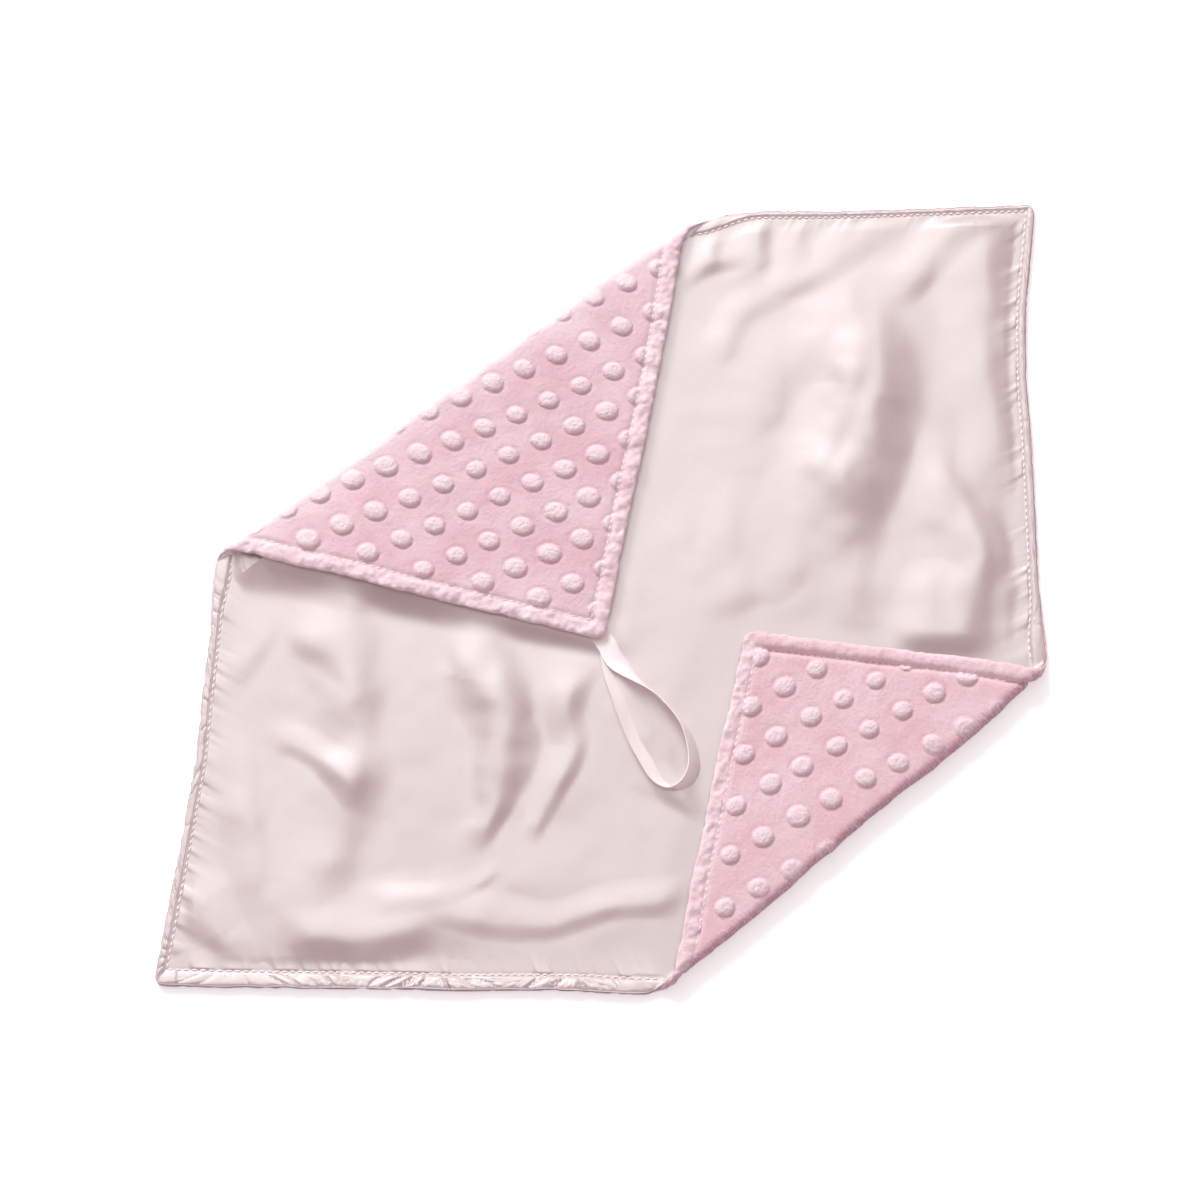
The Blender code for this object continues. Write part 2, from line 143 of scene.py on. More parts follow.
def bumps(x, y, size, seed):
    """Between -1 and 1: a random number at each crossing of a net, joined by soft steps."""
    table = np.random.default_rng(seed).uniform(-1, 1, (128, 128))
    column, row = np.floor(x / size), np.floor(y / size)
    right, up = soft_step(x / size - column), soft_step(y / size - row)
    column, row = column.astype(int), row.astype(int)

    def knot(i, j):
        return table[(column + i) % 128, (row + j) % 128]

    low = knot(0, 0) * (1 - right) + knot(1, 0) * right
    high = knot(0, 1) * (1 - right) + knot(1, 1) * right
    return low * (1 - up) + high * up


# %% [markdown]
# ## From the cut square to the table
#
# A point of the cloth has two measures, *across* and *up*, from its lower left corner.  The four sides
# are laid as soft curves, and everything between them follows by Coons' patch: the blend of two facing
# sides, plus the blend of the other two, less the blend of the four corners.


# %% The four sides and the plan
def laid_side(*marks):
    """A side through (share, place) marks: straight runs, smoothed by a bell curve over the bends."""
    shares = np.array([mark[0] for mark in marks])
    places = np.array([mark[1] for mark in marks])
    fine = np.linspace(-0.2, 1.2, 1401)
    first = places[0] + (places[1] - places[0]) / (shares[1] - shares[0]) * -0.3
    last = places[-1] + (places[-1] - places[-2]) / (shares[-1] - shares[-2]) * 0.3
    shares = np.concatenate([[-0.3], shares, [1.3]])
    places = np.vstack([first, places, last])
    bell = np.exp(-0.5 * (np.arange(-80, 81) / 22.0) ** 2)
    bell /= bell.sum()
    kept = slice(200, 1201)
    line = np.stack([np.convolve(np.interp(fine, shares, places[:, k]), bell, "same") for k in (0, 1)], -1)
    return fine[kept], line[kept]


def on_side(side, share):
    """Places on a laid side."""
    return np.stack([np.interp(share, side[0], side[1][:, k]) for k in (0, 1)], -1)


LEFT = laid_side((0, LOWER_LEFT), (0.285, LEFT_BEND), (0.524, LEFT_FOLD), (1, UPPER_LEFT))
RIGHT = laid_side((0, LOWER_RIGHT), (0.399, RIGHT_FOLD), (0.783, RIGHT_BEND), (0.875, RIGHT_DIP),
                  (1, UPPER_RIGHT))
BOTTOM = laid_side((0, LOWER_LEFT), (0.573, BOTTOM_FOLD), (1, LOWER_RIGHT))
TOP = laid_side((0, UPPER_LEFT), (0.542, TOP_FOLD), (0.620, TOP_BEND), (1, UPPER_RIGHT))

CORNER_ROUND = 5.5 * MM
WOBBLE = 0.5 * MM


def rounded(across, up):
    """Rounds the square's corners: near one, a square's two shares shrink as in a disc."""
    x, y = np.minimum(across, SIDE - across), np.minimum(up, SIDE - up)
    a, b = np.clip(1 - x / CORNER_ROUND, 0, 1), np.clip(1 - y / CORNER_ROUND, 0, 1)
    inset_x = CORNER_ROUND * (a - a * np.sqrt(1 - 0.5 * b * b))
    inset_y = CORNER_ROUND * (b - b * np.sqrt(1 - 0.5 * a * a))
    across = across + np.where(across < 0.5 * SIDE, inset_x, -inset_x)
    return across, up + np.where(up < 0.5 * SIDE, inset_y, -inset_y)


def rolled_under(across, up):
    """Brings the stitch line nearer the outline where the hem rolls under, most of all at the top."""
    def pull(inside, most):
        return most * soft_step(inside / STITCH_LINE) * soft_step((48 * MM - inside) / (36 * MM))

    left = pull(across, 3.2 * MM) * soft_step((200 * MM - up) / (25 * MM))
    right = pull(SIDE - across, 3.2 * MM) * soft_step((up - 172 * MM) / (25 * MM))
    top = pull(SIDE - up, 4.4 * MM) * soft_step((across - 226 * MM) / (30 * MM))
    return across - left + right, up + top


def plan(across, up):
    """The unfolded cloth on the table, by Coons' patch, with a slight wander of the hand."""
    across, up = rounded(*rolled_under(across, up))
    u, v = (across / SIDE)[:, None], (up / SIDE)[:, None]
    sides = on_side(BOTTOM, u[:, 0]) * (1 - v) + on_side(TOP, u[:, 0]) * v
    sides += on_side(LEFT, v[:, 0]) * (1 - u) + on_side(RIGHT, v[:, 0]) * u
    lower, upper = LOWER_LEFT * (1 - u) + LOWER_RIGHT * u, UPPER_LEFT * (1 - u) + UPPER_RIGHT * u
    wander = np.stack([bumps(across, up, 34 * MM, seed) for seed in (3, 4)], -1)
    return sides - (lower * (1 - v) + upper * v) + WOBBLE * wander + SHIFT


middle_of_plan = plan(np.array([0.5 * SIDE]), np.array([0.5 * SIDE]))
print("the square's middle lies at", np.round(middle_of_plan / MM, 1), "mm")

# %% [markdown]
# ## Folding
#
# A folded blanket doesn't crease like paper: its outer layer runs round a roll.  A point of the cloth
# is known by its *depth*, the distance to the fold line, and its *level*, the height above the plush
# face.  Within a quarter turn of the roll it moves on an arc; further in it lies flat.  Beyond the line
# the same is done upside down, so the corner lies over the middle with its plush up.


# %% How a folded corner lies
# opened to its limit of 175 degrees the corner slopes by this much, and a higher rim would meet the table
OPENED_SLOPE = math.tan(math.radians(5))


def corner_height(fold, deep, across, up):
    """Height of the folded corner's plush face: two radii at the roll, then settling and waving."""
    settled = soft_step((deep - NOSE) / (2 * SETTLE))
    height = 2 * FOLD_RADIUS - 0.8 * MM * settled
    height = height + 0.5 * MM * settled * bumps(across, up, 48 * MM, 11)
    if fold is LOOP_FOLD:
        along_edge = (up / SIDE - 0.524) / 0.476
        arch = soft_step(along_edge / 0.16) * soft_step((1 - along_edge) / 0.75)
        raised = 6.0 * MM * arch * np.exp(-across / (30 * MM)) * soft_step(deep / (30 * MM))
        height = height + np.minimum(raised, OPENED_SLOPE * deep)
    return height


def fold_bow(fold, place):
    """How far the roll stands out of the straight line: the cloth's own slight unevenness."""
    share = (place - fold.start) @ fold.along / fold.length
    if fold is LOOP_FOLD:
        marks = (0.0, 0.07, 0.13, 0.20, 0.27, 0.33, 0.39, 0.51, 0.70, 0.77, 0.90, 0.96, 1.0)
        bows = (-1.2, -3.1, -2.7, -1.6, -2.2, -2.5, -0.6, -0.8, -0.3, 0.7, 1.1, -0.9, -0.2)
    else:
        marks = (0.0, 0.06, 0.12, 0.19, 0.31, 0.38, 0.50, 0.56, 0.62, 0.69, 0.81, 0.94, 1.0)
        bows = (0.2, 0.7, 1.8, 2.7, 2.1, 0.8, 0.1, 0.8, -0.2, 0.8, 0.2, -0.9, -1.2)
    return MM * (np.interp(share, marks, bows) + 0.3 * bumps(share * fold.length, 0, 13 * MM, 21))


def turned_over(fold, flat, across, up, level, lift):
    """Lays points by one fold.

    Reach from the line: the roll's radius less the layer's own radius times the cosine of the turn.
    Height: the radius less the layer's own radius times the sine of the turn, or plus it once over.
    """
    depth = fold.depth(flat)
    deep = np.abs(depth)
    turn = np.minimum(deep / FOLD_RADIUS, 0.5 * math.pi)
    own = FOLD_RADIUS - level
    inner = FOLD_CLEARANCE + FOLD_RADIUS
    reach = inner - own * np.cos(turn)
    easing = inner + (deep - NOSE) * (SETTLE - inner) / (SETTLE - NOSE)
    reach = np.where(deep < NOSE, reach, np.where(deep < SETTLE, easing, deep))
    on_line = flat - depth[:, None] * fold.inward
    reach = reach - fold_bow(fold, on_line) * (1 - soft_step(deep / (16 * MM)))
    below = FOLD_RADIUS - own * np.sin(turn) + lift
    height = corner_height(fold, deep, across, up)
    above = FOLD_RADIUS + (height - FOLD_RADIUS - level) * np.sin(turn)
    place = on_line + reach[:, None] * fold.inward
    return np.column_stack([place, np.where(depth >= 0, below, above)])


def lay(across, up, level, lift):
    """Lays points by whichever fold is nearer."""
    flat = plan(across, up)
    nearer = LOOP_FOLD.depth(flat) < PLAIN_FOLD.depth(flat)
    by_loop = turned_over(LOOP_FOLD, flat, across, up, level, lift)
    by_plain = turned_over(PLAIN_FOLD, flat, across, up, level, lift)
    return np.where(nearer[:, None], by_loop, by_plain)


# %% [markdown]
# ## Measures along the hem
#
# The hem is the band between the edge and the topstitch.  Its shape depends on two things: how far in
# from the edge a point is, and where it is along the side.  The satin is set back a little from the
# plush, more on the far side than on the near side, as the photograph shows.


# %% Hem measures
def hem_measures(across, up):
    """Distance from the nearest side, place along it, a fade to nought at the mitres, the side's number."""
    from_sides = np.stack([across, SIDE - across, up, SIDE - up])
    nearest = np.argmin(from_sides, axis=0)
    ordered = np.sort(from_sides, axis=0)
    along = np.where(nearest < 2, up, across) + 1.37 * nearest
    return ordered[0], along, soft_step((ordered[1] - ordered[0]) / (7 * MM)), nearest


def satin_setback(across, up):
    """How far the satin's edge lies inside the plush edge: most at the top, less on the right."""
    right, top = SIDE - across, SIDE - up
    at_top = soft_step(0.5 + (np.minimum(right, across) - top) / STITCH_LINE)
    at_right = soft_step(0.5 + (np.minimum(top, up) - right) / STITCH_LINE)
    _, along, fade, _ = hem_measures(across, up)
    wavy = 0.35 * MM * bumps(along, 0, 9 * MM, 31) * fade
    return 0.7 * MM + 1.3 * MM * at_top + 0.5 * MM * at_right + wavy


def drawn_in(across, up):
    """Moves the satin's hem in from the edge and leaves its stitch line where it is."""
    keep = satin_setback(across, up) / STITCH_LINE
    x, y = np.minimum(across, SIDE - across), np.minimum(up, SIDE - up)
    more_x = np.maximum(STITCH_LINE - x, 0) * keep
    more_y = np.maximum(STITCH_LINE - y, 0) * keep
    across = across + np.where(across < 0.5 * SIDE, more_x, -more_x)
    return across, up + np.where(up < 0.5 * SIDE, more_y, -more_y)


def ragged(across, up):
    """The plush edge's uneven outline: its rows move in and out a little where the pile clumps."""
    inside, along, fade, nearest = hem_measures(across, up)
    clumps = 0.45 * bumps(along, 0, 2.6 * MM, 35) + 0.4 * bumps(along, 0, 7 * MM, 36) - 0.1
    moved = MM * clumps * fade * (1 - soft_step(inside / (7 * MM)))
    across = across + np.where(nearest == 0, -moved, np.where(nearest == 1, moved, 0))
    return across, up + np.where(nearest == 2, -moved, np.where(nearest == 3, moved, 0))


# %% [markdown]
# ## The plush's two faces
#
# Dimple plush is a short pile knitted over raised dots, about 22 mm by 28 mm apart in staggered rows.
# They could be bump in the material, but they show on the silhouette.  So each is a real oval dome with
# a flat top, and a low rim round its foot catches the light.  Where the blanket lies on the table, its
# weight presses the dots nearly flat.

# %% The dots: radius, height, the ovals' lean, and each corner's lattice as origin and steps in millimetres
DOT_RADIUS = 4.7 * MM
DOT_HEIGHT = 1.7 * MM
DOT_LEAN = math.radians(76)
LOOP_LATTICE = (np.array([79.3, 308.1]), np.array([[10.86, -11.05], [14.04, 14.32]]))
PLAIN_LATTICE = (np.array([385.9, 41.0]), np.array([[-13.07, 10.59], [16.59, 14.83]]))


def dot_share(across, up):
    """Shares of the dots' domes and of the hollow round each.

    A dome is one less the distance's fourth power, to the power 0.6, and a hollow is a bell past its foot.
    """
    dome, hollow = np.zeros_like(across), np.zeros_like(across)
    corner = (across / SIDE - up / SIDE) > 0.16
    for side, (origin, steps) in ((~corner, LOOP_LATTICE), (corner, PLAIN_LATTICE)):
        points = np.stack([across, up]) / MM - origin[:, None]
        whole = np.floor(np.linalg.solve(steps, points))
        for i in (0, 1):
            for j in (0, 1):
                knot = whole + np.array([[i], [j]])
                off = points - steps @ knot
                off = off + 0.5 * np.sin(knot[0] * 12.9 + knot[1] * 78.2) * np.array([[1.0], [0.6]])
                size = DOT_RADIUS / MM * (1 + 0.07 * np.sin(knot[0] * 37.1 + knot[1] * 17.7))
                long = math.cos(DOT_LEAN) * off[0] + math.sin(DOT_LEAN) * off[1]
                wide = math.cos(DOT_LEAN) * off[1] - math.sin(DOT_LEAN) * off[0]
                away = np.hypot(long / 1.12, wide / 0.92) / size
                dome = np.maximum(dome, np.where(side, np.clip(1 - away ** 4, 0, 1) ** 0.6, 0))
                hollow = np.maximum(hollow, np.where(side, np.exp(-((away - 1.14) / 0.15) ** 2), 0))
    inside, _, _, nearest = hem_measures(across, up)
    least = np.where(nearest == 1, 0, 0.25)
    clear = (least + (1 - least) * soft_step((inside - 6 * MM) / (4 * MM))) * soft_step(inside / (4 * MM))
    return np.stack([dome, hollow]) * clear


# %% Levels of the plush
PLUSH_THICK, PLUSH_AT_TAILS = 1.8 * MM, 3.0 * MM
# how plump the hem's roll is on the left, right, near and far side
HEM_PLUMP = (0.3, 1.0, 0.15, 0.45)


def plush_faces(across, up):
    """Levels of the plush's outer and inner face, counted from the table's face upwards."""
    flat = plan(across, up)
    depth = fold_depth(flat)
    inside, along, fade, nearest = hem_measures(across, up)
    pressed = soft_step((depth - 2 * MM) / (14 * MM))
    free = 1 - pressed
    near_fold = 1 - soft_step((np.abs(depth) - 4 * MM) / (9 * MM))
    dome, hollow = dot_share(across, up) * (1 - 0.8 * near_fold)
    sunk = pressed * 0.5 * MM
    crinkles = 0.15 * MM * bumps(across, up, 1.25 * MM, 49)
    outer = sunk - (free * DOT_HEIGHT + sunk) * dome + free * (0.28 * MM * hollow + crinkles * dome)
    # the hem: a roll between the edge and the stitches, more crushed than the field
    in_hem = 1 - soft_step((inside - 6 * MM) / (4 * MM))
    crushed = bumps(across, up, 1.9 * MM, 41) + 1.2 * bumps(across, up, 4.0 * MM, 42)
    nap = 0.10 * MM * bumps(across, up, 1.3 * MM, 43) + 0.16 * MM * bumps(across, up, 5 * MM, 44)
    outer = outer + free * (nap + in_hem * np.where(nearest == 1, 0.22, 0.46) * MM * crushed)
    plump = np.array(HEM_PLUMP)[nearest] * (1 + 0.35 * bumps(along, 0, 16 * MM, 45))
    arch = np.sin(math.pi * np.clip(inside / STITCH_LINE, 0, 1))
    roll = arch ** 0.7 * fade
    groove = np.exp(-((inside - STITCH_LINE) / (1.3 * MM)) ** 2)
    outer = outer - free * 1.1 * MM * plump * roll + free * (0.5 + 0.9 * plump) * MM * groove
    # the edge: the outer face curves up to meet the inner one
    edge = np.clip(inside / (2.2 * MM), 0, 1)
    curl = 1 - np.sqrt(1 - (1 - edge) ** 2)
    outer = outer + 1.35 * MM * curl
    inner = PLUSH_THICK + 0.2 * MM * arch ** 0.8 - 0.35 * MM * curl
    inner = inner + (PLUSH_AT_TAILS - inner) * tail_share(across, up) * np.clip(inside / (4 * MM), 0, 1)
    # nothing under the middle stands out below the table's face
    room = FOLD_RADIUS / np.sin(np.clip(depth, 0.2 * MM, NOSE) / FOLD_RADIUS) - FOLD_RADIUS
    return np.where(depth > 0, np.maximum(outer, -room), outer), inner


def tail_share(across, up):
    """One where the ribbon's ends lie in the seam, nought away from that corner."""
    return 1 - soft_step((np.hypot(across, SIDE - up) - 30 * MM) / (32 * MM))


beside = LOOP_LATTICE[0][:, None] * MM + np.array([[0, 11 * MM], [0, 0]])
print("plush levels on and beside a dot:", np.round(plush_faces(*beside)[0] / MM, 2), "mm")

# %% [markdown]
# ## The satin's folds
#
# Satin shows its shape by shading: broad pale planes with soft dark bands where it tips away from the
# light.  Each band is one gentle step down across a line of points: the cloth rises slowly from one side
# and drops over the band's width.  With t the share of the width that a point is short of the far side,
# the height is a soft step of t, less another soft step that is 1.4 times as long.

# %% The bands: steepest slope, widths at both ends in millimetres, points in thousandths of the side
SATIN_BANDS = (
    (0.13, (9, 15), ((160, 310), (190, 343), (284, 403), (322, 435), (358, 464))),
    (0.16, (13, 17), ((405, 397), (423, 415), (449, 445), (478, 472))),
    (0.30, (29, 32), ((334, 140), (340, 160), (356, 197), (369, 230), (372, 248))),
    (0.10, (9, 11), ((275, 146), (285, 168), (298, 207), (306, 240))),
    (0.18, (13, 20), ((495, 165), (492, 266), (495, 370), (502, 430), (506, 455))),
    (0.24, (24, 23), ((449, -68), (461, -36), (474, 2), (480, 32), (477, 55))),
    (0.17, (19, 25), ((-278, -200), (-279, -142), (-280, -92), (-284, -55))),
    (0.30, (8, 21), ((-138, -300), (-122, -268), (-108, -236), (-98, -190), (-102, -150), (-108, -125))),
    (0.18, (6, 14), ((-78, -295), (-55, -250), (-30, -202), (-36, -160), (-32, -140))),
    (0.18, (8, 10), ((-392, -206), (-369, -220), (-343, -238), (-322, -252))),
    (0.10, (30, 26), ((-307, -375), (-302, -350), (-296, -325), (-292, -300))),
    (0.11, (7, 5), ((-250, -398), (-210, -394), (-168, -381), (-148, -370))),
    (0.20, (11, 19), ((-345, -448), (-315, -446), (-285, -444), (-250, -441))),
    (0.15, (9, 9), ((-185, -413), (-91, -424), (-55, -423), (40, -404), (90, -394))),
    (0.16, (16, 10), ((-500, -410), (-482, -425), (-468, -438))),
    (0.11, (12, 12), ((-430, -252), (-431, -218))),
    (0.11, (14, 14), ((-412, -347), (-412, -316), (-413, -287))),
    (0.10, (11, 11), ((-433, -102), (-419, -73))),
    (0.09, (13, 13), ((-351, -86), (-323, -107))),
    (0.12, (13, 13), ((399, -60), (403, -24))),
    (0.09, (13, 13), ((320, -24), (321, 2))),
    (0.08, (13, 13), ((171, 59), (171, 85))),
    (0.08, (11, 11), ((176, -21), (207, -7), (225, 8))),
    (0.11, (14, 14), ((451, 104), (440, 138))),
    (0.08, (15, 15), ((206, 226), (229, 259), (257, 289))),
    (0.20, (12, 10), ((88, 388), (118, 405), (156, 420))),
    (0.17, (8, 8), ((147, 438), (149, 466))),
    (0.18, (10, 10), ((204, 430), (206, 466))),
    (0.16, (9, 9), ((252, 444), (254, 472))),
    (0.09, (14, 8), ((83, -225), (55, -170), (32, -118))),
    (0.14, (9, 9), ((64, -262), (95, -278), (122, -288))),
    (0.16, (7, 7), ((494, -45), (502, -10))),
)
# where the loop corner's near hem presses the satin down in front of it
PRESSED_BAND = (0.29, (24, 11), ((-432, 14), (-360, 3), (-241, -25), (-122, -53), (-20, -76)))


def smooth_route(points, count):
    """Points on Catmull and Rom's curve through the given points."""
    points = np.asarray(points, float)
    spans = len(points) - 1
    at = np.linspace(0, spans, count)
    span = np.minimum(at.astype(int), spans - 1)
    rest = (at - span)[:, None]
    before, start = points[np.maximum(span - 1, 0)], points[span]
    end, after = points[span + 1], points[np.minimum(span + 2, spans)]
    easing = 2 * before - 5 * start + 4 * end - after
    bending = 3 * start - before - 3 * end + after
    return start + 0.5 * ((end - before) * rest + easing * rest ** 2 + bending * rest ** 3)


def band_height(flat, slope, widths, points):
    """One band's step down; beyond either end it dies away as a bell."""
    route = smooth_route(0.001 * SIDE * np.array(points), 5 * len(points)) + SHIFT
    runs = len(route) - 1
    nearest, signed = np.full(len(flat), np.inf), np.zeros(len(flat))
    for number, (start, end) in enumerate(zip(route, route[1:])):
        run = end - start
        length = np.linalg.norm(run)
        offset = flat - start
        reached = offset @ run / length ** 2
        held = np.clip(reached, 0, 1)
        gap = np.linalg.norm(offset - held[:, None] * run, axis=1)
        over = np.where((number == 0) & (reached < 0), -reached, 0)
        over = length * np.where((number == runs - 1) & (reached > 1), reached - 1, over)
        closer = gap < nearest
        nearest = np.where(closer, gap, nearest)
        beside = np.sqrt(np.maximum(gap ** 2 - over ** 2, 0))
        right = offset[:, 0] * run[1] - offset[:, 1] * run[0]
        signed = np.where(closer, np.where(right < 0, -beside, beside), signed)
    # the share along the band is taken on its chord, so that it never jumps
    chord = route[-1] - route[0]
    share = (flat - route[0]) @ chord / (chord @ chord)
    past = np.maximum(np.maximum(-share, share - 1), 0) * np.linalg.norm(chord)
    wide = MM * (widths[0] + (widths[1] - widths[0]) * np.clip(share, 0, 1))
    short = 0.5 - signed / wide
    wave = soft_step(short) - soft_step((short - 1) / 1.4)
    return slope * wide / 1.5 * wave * np.exp(-0.7 * (past / wide) ** 2)


# %% [markdown]
# ## The satin's faces
#
# Under a folded corner the satin lies flat, so every lift fades out there.  At the stitches the cloth is
# drawn in: the thread pulls it into small puckers, which run over the hem and die out in the field.


# %% Where the folded corners cover the satin
def cover_distance(flat):
    """Distance outside the two triangles that the folded corners cover; nought under them."""
    clear = np.full(len(flat), np.inf)
    for fold, tip in ((LOOP_FOLD, LOOP_TIP + SHIFT), (PLAIN_FOLD, PLAIN_TIP + SHIFT)):
        corners = [fold.start, fold.start + fold.length * fold.along, tip]
        inside, edge = np.ones(len(flat), bool), np.full(len(flat), np.inf)
        middle = np.mean(corners, axis=0)
        for start, end in zip(corners, corners[1:] + corners[:1]):
            run = end - start
            offset = flat - start
            held = np.clip(offset @ run / (run @ run), 0, 1)
            edge = np.minimum(edge, np.linalg.norm(offset - held[:, None] * run, axis=1))
            side = run[0] * offset[:, 1] - run[1] * offset[:, 0]
            inner = run[0] * (middle - start)[1] - run[1] * (middle - start)[0]
            inside &= side * inner >= 0
        clear = np.minimum(clear, np.where(inside, 0, edge))
    return clear


# %% Lift and levels of the satin
# how strong the puckers at the thread are on the left, right, near and far side
PUCKERS = (1.1, 1.1, 1.5, 0.6)
SATIN_THICK = 0.3 * MM


def satin_lift(across, up, flat):
    """How high the satin stands above lying flat: its bands, a gentle swell and the puckers."""
    inside, along, fade, nearest = hem_measures(across, up)
    field = inside - STITCH_LINE
    clear = cover_distance(flat)
    free = soft_step((clear + 3 * MM) / (16 * MM))
    x, y = flat.T
    swell = 0.5 * MM * bumps(x, y, 60 * MM, 51) + 0.40 * MM * bumps(x, y, 24 * MM, 56)
    swell = swell + 0.10 * MM * bumps(x, y, 9 * MM, 57)
    plump = 0.2 * MM + 0.5 * MM * soft_step(clear / (40 * MM))
    plump = plump * soft_step((fold_depth(flat) - 16 * MM) / (26 * MM))
    waves = (plump + swell * free) * soft_step(field / (30 * MM))
    # the bands' outlines wander, so they are measured from places pushed a few millimetres about
    pushed = flat + 3.4 * MM * np.stack([bumps(x, y, 29 * MM, seed) for seed in (71, 72)], -1)
    pushed = pushed + 0.6 * MM * np.stack([bumps(x, y, 9 * MM, seed) for seed in (73, 74)], -1)
    patchy = 1 + 0.25 * bumps(x, y, 19 * MM, 75)
    bands = sum(band_height(pushed, *band) for band in SATIN_BANDS)
    waves = waves + bands * patchy * free * soft_step(field / (8 * MM))
    waves = waves + band_height(flat, *PRESSED_BAND) * soft_step(field / (9 * MM))
    # a soft maximum: nothing dips through the plush, and no crease forms where it is met
    lift = 0.5 * (waves + np.sqrt(waves ** 2 + (0.5 * MM) ** 2)) - 0.25 * MM
    slant = along + 0.5 * field
    gathers = 0.30 + 0.8 * bumps(slant, 0, 5 * MM, 52) + 0.5 * bumps(slant, 0, 2.6 * MM, 53)
    puckers = 0.5 * MM * np.array(PUCKERS)[nearest] * fade * gathers
    puckers = puckers * np.exp(-np.maximum(field, 0) / (4.5 * MM))
    puckers = np.where(field > 0, puckers * soft_step(field / (1.5 * MM)), 0)
    return np.maximum(lift + puckers * soft_step((clear + 0.5 * MM) / (5 * MM)), 0)


def satin_hem(across, up):
    """Height of the hem's roll above the stitch line: round at the edge, pleated by the thread."""
    inside, along, fade, nearest = hem_measures(across, up)
    q = np.clip(inside / STITCH_LINE, 0, 1)
    # the near hem falls from a crest at its edge; the others are flat up to the thread
    crest = np.where(nearest == 2, 0.15, 0.7)
    rounded_edge = np.sqrt(np.clip(1 - (1 - np.minimum(q / 0.14, 1)) ** 2, 0, 1))
    crown = rounded_edge * (1 - soft_step((q - crest) / (1 - crest)))
    slant = along + 1.6 * inside * bumps(along, 0, 30 * MM, 58)
    # puffs between creases: the absolute value of smooth bumps has round hills and sharp valleys
    puffs = np.sqrt(np.abs(bumps(slant, 0.25 * inside, 5.2 * MM, 54)))
    puffs = 0.8 * puffs + 0.2 * np.abs(bumps(slant, inside, 2.4 * MM, 55))
    puffs = puffs * rounded_edge * (1 - soft_step((q - 0.75) / 0.25))
    pleated = soft_step((across - 45 * MM) / (20 * MM))
    strength = (np.where(nearest == 2, 1.1 * pleated, np.where(nearest == 0, 0.2, 0)) + 0.4) * fade
    # at the near left corner the side's hem ends in a tuck: a step to the right, a long rise to the left
    tuck = (14.5 * MM - 0.2 * up - across) / MM
    tuck = soft_step(tuck / 1.3) * np.exp(-np.maximum(tuck, 0) / 3) * (nearest == 2) * rounded_edge * (q < 1)
    return MM * (np.where(nearest == 2, 0.6, 0.35) * crown + strength * puffs + 0.7 * tuck)


def satin_faces(across, up):
    """Levels of the satin's inner and outer face, and its lift, at the cloth's own measures."""
    flat = plan(*drawn_in(across, up))
    depth = fold_depth(flat)
    inside = hem_measures(across, up)[0]
    middle = depth > 0
    inner = 2.1 * MM + 0.15 * MM * np.sin(math.pi * np.clip(inside / STITCH_LINE, 0, 1))
    inner = inner + 2.2 * MM * tail_share(across, up)
    groove = 0.12 * MM * np.exp(-((inside - STITCH_LINE) / MM) ** 2)
    roll = satin_hem(across, up)
    thick = SATIN_THICK + 0.25 * MM * soft_step((STITCH_LINE + 1 * MM - inside) / (2 * MM))
    outer = inner + thick + roll * np.where(middle, soft_step(depth / (15 * MM)), 0.2 * MM) - groove
    return inner - groove, outer, np.where(middle, satin_lift(across, up, flat), 0)


# %% [markdown]
# ## Making cloth into a mesh
#
# Every cloth goes the same way.  A net of rows is laid out flat by the plan, cut along straight lines
# beside the folds, and split into triangles.  Two faces are worked out for the same points, the second
# is turned round, and a rim joins them, so the piece is a thin closed body like real cloth.


# %% A flat net and its cuts
HEM_ROWS = np.array([0, 0.15, 0.4, 0.8, 1.3, 1.9, 2.6, 3.4, 4.2, 5.0, 5.8, 6.6, 7.3, 8.0]) * MM


def rows(cell):
    """Row distances over the square: crowded at the edge, then even."""
    count = round((SIDE - 2 * STITCH_LINE) / cell)
    field = np.linspace(STITCH_LINE, SIDE - STITCH_LINE, count + 1)[1:-1]
    return np.concatenate([HEM_ROWS, field, SIDE - HEM_ROWS[::-1]])


def net(across_rows, up_rows):
    """All crossings of two sets of rows, and the quads between them."""
    across, up = np.meshgrid(across_rows, up_rows, indexing="ij")
    count = len(up_rows)
    low = (np.arange(len(across_rows) - 1)[:, None] * count + np.arange(count - 1)[None, :]).ravel()
    return across.ravel(), up.ravel(), np.stack([low, low + count, low + count + 1, low + 1], -1)


def per_point(mesh, name, values):
    """Writes one number for each point of a mesh."""
    mesh.attributes.new(name, "FLOAT", "POINT").data.foreach_set("value", values.astype(np.float32))


